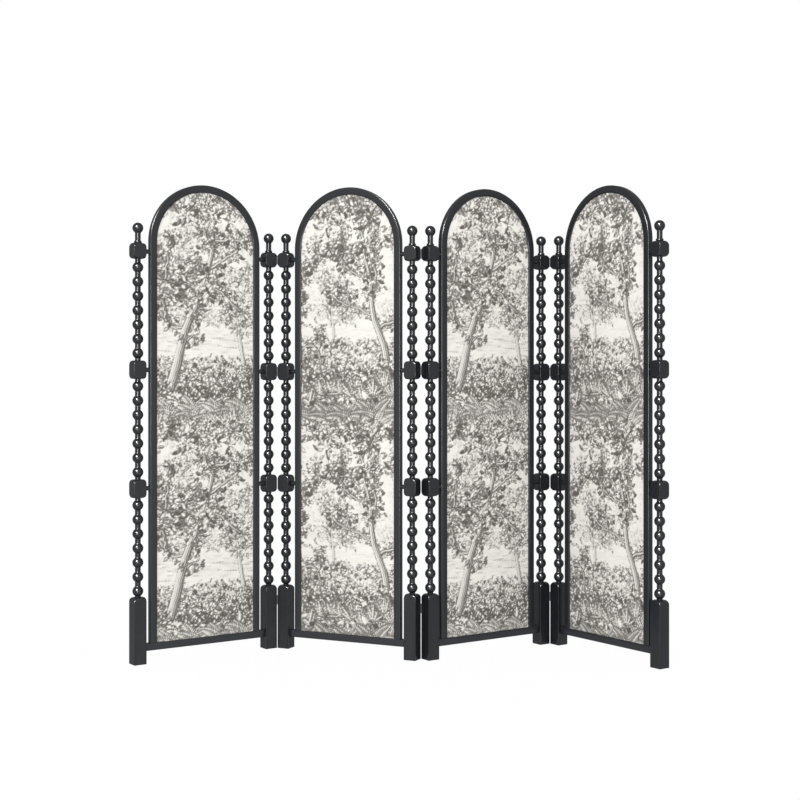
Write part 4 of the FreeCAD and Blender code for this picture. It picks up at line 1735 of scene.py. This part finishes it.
@dataclass
class ButtHinge:
    """A small pressed butt hinge: two leaves let into the posts, their knuckles and the pin.

    It is drawn with the pin's axis on Z, its middle at z = 0, and Y away from the faces that the pin
    stands in front of. The leaf drawn is the one on the left, with the lower knuckle. The screws'
    places are shares of the leaf's reach and of half its height.
    """

    post: TurnedPost
    post_spacing: float
    trees: Trees
    finishes: Finishes
    fold_gap: float = 0.001
    pin_proud: float = 0.0005
    pin_width: float = 0.003
    pin_sides: int = 20
    knuckle_width: float = 0.006
    knuckle_play: float = 0.0003
    knuckle_sides: int = 28
    end_ease: float = 0.0004
    height: float = 0.036
    reach: float = 0.018
    thickness: float = 0.0015
    leaf_gap: float = 0.0002
    leaf_play: float = 0.0003
    lowest: float = 0.190
    corner: float = 0.002
    cut_past: float = 0.001
    screw_width: float = 0.0046
    screw_depth: float = 0.001
    screw_crown: float = 0.00007
    screw_sides: int = 20
    slot_width: float = 0.0006
    slot_depth: float = 0.0006
    slot_turn: float = 0.5
    near_screws: float = 0.45
    far_screw: float = 0.72
    screw_rise: float = 0.66

    def __post_init__(self) -> None:
        """Works out where the leaf lies."""
        self.recess = self.thickness - (self.fold_gap - self.leaf_gap) / 2
        self.outside = -self.fold_gap / 2 - self.recess
        self.inside = self.outside + self.thickness
        self.clear = self.knuckle_width / 2 / math.cos(math.pi / 6) + self.knuckle_play
        self.heights = [self.lowest, *self.post.block_middles[1:]]

    def spot(self, side: Side, face: Face, height: float) -> Matrix:
        """From the hinge's frame to the panel's.

        Args:
            side: The side of the panel that the leaf is on; a right-hand leaf is the drawn one.
            face: The faces that the pin stands at.
            height: The hinge's middle.

        Returns:
            The matrix.
        """
        turn = Matrix.Identity(4) if side is Side.RIGHT else Matrix.Rotation(math.pi, 4, "Y")
        if face is Face.BACK:
            turn = Matrix.Rotation(math.pi, 4, "X") @ turn
        x = side.value * (self.post_spacing / 2 + self.post.side / 2 + self.fold_gap / 2)
        y = face.value * (self.post.side / 2 + self.pin_proud)
        return Matrix.Translation((x, y, height)) @ turn

    def screw(self) -> Mesh:
        """A countersunk screw head with its slot, flush in the leaf and facing +X.

        Returns:
            The head's mesh.
        """
        radius = self.screw_width / 2
        side = [(0, -self.screw_depth), (radius, -self.screw_depth), (radius, 0)]
        crown = [(radius * 0.6, self.screw_crown * 5 / 7), (0, self.screw_crown)]
        long, half = radius * 1.2, self.slot_width / 2
        slot = block_mesh((-long, -half, -self.slot_depth), (long, half, self.screw_depth))
        head = cut(lathe([*side, *crown], self.screw_sides), [slot])
        return moved(head, Matrix.Rotation(math.pi / 2, 4, "Y") @ Matrix.Rotation(self.slot_turn, 4, "Z"))

    def leaf(self) -> Mesh:
        """One leaf with its knuckle and three screws.

        Returns:
            One mesh of them all.
        """
        steel = self.finishes.blackened
        half = self.height / 2
        top = -self.knuckle_play / 2
        outline = rounded([
            (0, -half, 0),
            (self.reach, -half, self.corner),
            (self.reach, half, self.corner),
            (self.clear, half, 0),
            (self.clear, top, 0),
            (0, top, 0),
        ])
        plate = bar(outline, self.outside, self.inside)
        knuckle = eased_rod(self.knuckle_width / 2, -half, top, self.end_ease, self.knuckle_sides)
        near, far, rise = self.reach * self.near_screws, self.reach * self.far_screw, half * self.screw_rise
        places = [(self.inside, y, z) for y, z in ((near, -rise), (far, 0), (near, rise))]
        screws = self.trees.on_points(self.screw(), places, steel)
        return joined(coated(plate, steel), coated(knuckle, steel), screws)

    def pin(self) -> Mesh:
        """One pin, which fills both knuckles."""
        half = self.height / 2
        return eased_rod(self.pin_width / 2, -half, half, self.end_ease, self.pin_sides)

    def at_each(self, unit: Mesh, side: Side, face: Face, finish: Material) -> Mesh:
        """One piece, drawn in the hinge's frame, at each of the three hinges on one side of a panel."""
        points = [(0, 0, height) for height in self.heights]
        return self.trees.on_points(moved(unit, self.spot(side, face, 0)), points, finish)

    def recesses(self, side: Side, face: Optional[Face]) -> list[Mesh]:
        """What is cut from a post for its leaves and knuckles.

        Args:
            side: The post's side of the panel.
            face: The faces that its pins stand at, or None where no panel is hinged to it.

        Returns:
            The cutters, in the post's own frame.
        """
        if face is None:
            return []
        half = self.height / 2 + self.leaf_play
        plate = block_mesh((self.outside, 0, -half), (self.cut_past, self.reach + self.leaf_play, half))
        corner = block_mesh((-self.clear, -self.cut_past * 3, -half), (self.cut_past, self.clear, half))
        to_post = Matrix.Translation((-side.value * self.post_spacing / 2, 0, 0))
        return [
            moved(shape, to_post @ self.spot(side, face, height))
            for height in self.heights for shape in (plate, corner)
        ]


# Whole screen


@dataclass
class Panel:
    """One panel: two turned posts and the arched frame with its print."""

    number: int
    post: TurnedPost
    frame: ArchedFrame
    hinge: ButtHinge
    finishes: Finishes

    def post_mesh(self, side: Side) -> Mesh:
        """One post, with recesses where another panel is hinged to it.

        Args:
            side: The post's side of the panel.

        Returns:
            The post's mesh, in the panel's frame.
        """
        fold = self.number if side is Side.RIGHT else self.number - 1
        mesh = self.post.mesh(self.hinge.recesses(side, FOLD_FACES.get(fold)))
        mesh.transform(Matrix.Translation((side.value * self.frame.post_spacing / 2, 0, 0)))
        return mesh

    def build(self, plate: Engraving) -> None:
        """Builds all pieces of the panel, and lines its board.

        Args:
            plate: The print's engraving.
        """
        wood = {}
        for side in Side:
            wood[f"post_{side.word}"] = self.post_mesh(side)
            wood[f"dowels_{side.word}"] = self.frame.dowels(side)
        wood["arched_frame"] = self.frame.timber()
        wood["bottom_rail"] = self.frame.rail()
        wood["beads"] = self.frame.beads()
        for name, mesh in wood.items():
            dress_node(f"panel_{self.number}_{name}", mesh, self.number)
        paper = PrintedSheet(self.frame).mesh(plate, self.finishes.paper)
        dress_node(f"panel_{self.number}_paper", paper, self.number)
        coated(frame["nodes"][f"panel_{self.number}_board"].data, self.finishes.lining)


@dataclass
class Fold:
    """The three hinges between two panels."""

    left: int
    hinge: ButtHinge
    finishes: Finishes

    def build(self) -> None:
        """Builds both sets of leaves and the pins."""
        name = f"fold_{self.left}_{self.left + 1}"
        face = FOLD_FACES[self.left]
        sides = {self.left: Side.RIGHT, self.left + 1: Side.LEFT}
        for (panel, side), word in zip(sides.items(), ("left", "right")):
            mesh = self.hinge.at_each(self.hinge.leaf(), side, face, self.finishes.blackened)
            dress_node(f"{name}_leaves_{word}", mesh, panel)
        holder = PIN_HOLDERS[self.left]
        mesh = self.hinge.at_each(self.hinge.pin(), sides[holder], face, self.finishes.bright)
        dress_node(f"{name}_pins", mesh, holder)


# Studio


def seen(tree: NodeTree) -> Node:
    """Whether a ray comes from the camera, a gloss or a clear piece.

    Args:
        tree: The shader tree.

    Returns:
        The node that gives 1 for such a ray.
    """
    rays = add(tree, "ShaderNodeLightPath").outputs
    both = add(tree, MATH, [rays["Is Camera Ray"], rays["Is Glossy Ray"]], operation="MAXIMUM")
    return add(tree, MATH, [both, rays["Is Transmission Ray"]], operation="MAXIMUM")


@dataclass(frozen=True)
class StudioFloor(Finish):
    """A matt white floor that looks evenly white and keeps a little of the screen's shadow."""

    name: str = "white_studio_floor"
    colour: str = "#f4f4f4"
    white_share: float = 0.98

    def surface(self, tree: NodeTree) -> Node:
        """A lit floor under a share of plain white.

        Args:
            tree: The material's tree.

        Returns:
            The shader.
        """
        lit = add(tree, "ShaderNodeBsdfDiffuse", {"Color": linear(self.colour)})
        white = add(tree, "ShaderNodeEmission", {"Color": linear(WHITE), "Strength": 1.0})
        share = add(tree, MATH, [seen(tree), self.white_share], operation="MULTIPLY")
        return add(tree, "ShaderNodeMixShader", [share, lit, white])


@dataclass(frozen=True)
class Softbox:
    """One soft lamp that looks at the screen.

    Its direction is seen from the screen: turned from the front to the right, and up from level.
    """

    name: str
    turn: float
    rise: float
    away: float
    width: float
    height: float
    power: float
    middle: tuple[float, float, float] = (0.0, 0.0, 0.95)
    only_in_gloss: bool = False

    def build(self) -> None:
        """Hangs the lamp."""
        lamp = bpy.data.lights.new(self.name, "AREA")
        lamp.shape = "ELLIPSE"
        lamp.size = self.width
        lamp.size_y = self.height
        lamp.energy = self.power
        turn, rise = math.radians(self.turn), math.radians(self.rise)
        level = self.away * math.cos(rise)
        away = Vector((level * math.sin(turn), -level * math.cos(turn), self.away * math.sin(rise)))
        softbox = bpy.data.objects.new(self.name, lamp)
        softbox.location = Vector(self.middle) + away
        softbox.rotation_euler = (-away).to_track_quat("-Z", "Y").to_euler()
        softbox.visible_diffuse = not self.only_in_gloss
        bpy.context.collection.objects.link(softbox)


@dataclass
class Studio:
    """The pale floor, the soft light and the camera."""

    floor_half: float = 20.0
    sky_strength: float = 1.02
    softboxes: tuple[Softbox, ...] = (
        Softbox("key_softbox", turn=-28.0, rise=35.0, away=14.0, width=5.4, height=5.4, power=280.0),
        Softbox("sparkle_softbox", turn=-26.0, rise=33.0, away=14.0, width=4.6, height=4.6,
                power=8000.0, only_in_gloss=True),
        Softbox("level_softbox", turn=-9.0, rise=3.0, away=9.0, width=2.2, height=3.0,
                power=480.0, only_in_gloss=True),
    )
    camera_at: tuple[float, float, float] = (-0.3681, -4.8198, 0.9765)
    camera_turn: float = -4.631
    camera_sight: float = 100.0
    lens: float = 57.53

    def floor(self) -> None:
        """A white floor that keeps the screen's shadow."""
        half = self.floor_half
        mesh = bpy.data.meshes.new("studio_floor")
        corners = [(-half, -half, 0), (half, -half, 0), (half, half, 0), (-half, half, 0)]
        mesh.from_pydata(corners, [], [(0, 1, 2, 3)])
        floor = bpy.data.objects.new("studio_floor", coated(mesh, StudioFloor().material()))
        bpy.context.collection.objects.link(floor)

    def sky(self) -> None:
        """An even pale surround that is white to the camera."""
        world = bpy.data.worlds.new("studio")
        world.use_nodes = True
        tree = world.node_tree
        tree.nodes.clear()
        light, white = (
            add(tree, "ShaderNodeBackground", {"Color": linear(WHITE), "Strength": strength})
            for strength in (self.sky_strength, 1.0)
        )
        mixed = add(tree, "ShaderNodeMixShader", [seen(tree), light, white])
        add(tree, "ShaderNodeOutputWorld", {"Surface": mixed})
        bpy.context.scene.world = world

    def camera(self) -> None:
        """The camera at the photograph's viewpoint, level, a little to the left and turned to the right."""
        data = bpy.data.cameras.new("camera")
        data.lens = self.lens
        data.clip_end = self.camera_sight
        camera = bpy.data.objects.new("camera", data)
        camera.location = self.camera_at
        camera.rotation_euler = (math.pi / 2, 0, math.radians(self.camera_turn))
        bpy.context.collection.objects.link(camera)
        bpy.context.scene.camera = camera

    def build(self) -> None:
        """Sets up the whole studio."""
        self.floor()
        self.sky()
        for softbox in self.softboxes:
            softbox.build()
        self.camera()
        bpy.context.scene.view_settings.view_transform = "Standard"


def main() -> None:
    """Builds the screen and the studio."""
    logging.basicConfig(level=logging.INFO, format="%(name)s: %(message)s", stream=sys.stdout)
    trees, finishes = Trees(), Finishes()
    post = TurnedPost(trees, finishes)
    arched = ArchedFrame(post, trees, finishes)
    hinge = ButtHinge(post, arched.post_spacing, trees, finishes)
    plates = {design: Engraving(design) for design in Verdure}
    for number in PANELS:
        Panel(number, post, arched, hinge, finishes).build(plates[DESIGNS[number]])
    for left in FOLD_FACES:
        Fold(left, hinge, finishes).build()
    Studio().build()


if __name__ == "__main__":
    main()
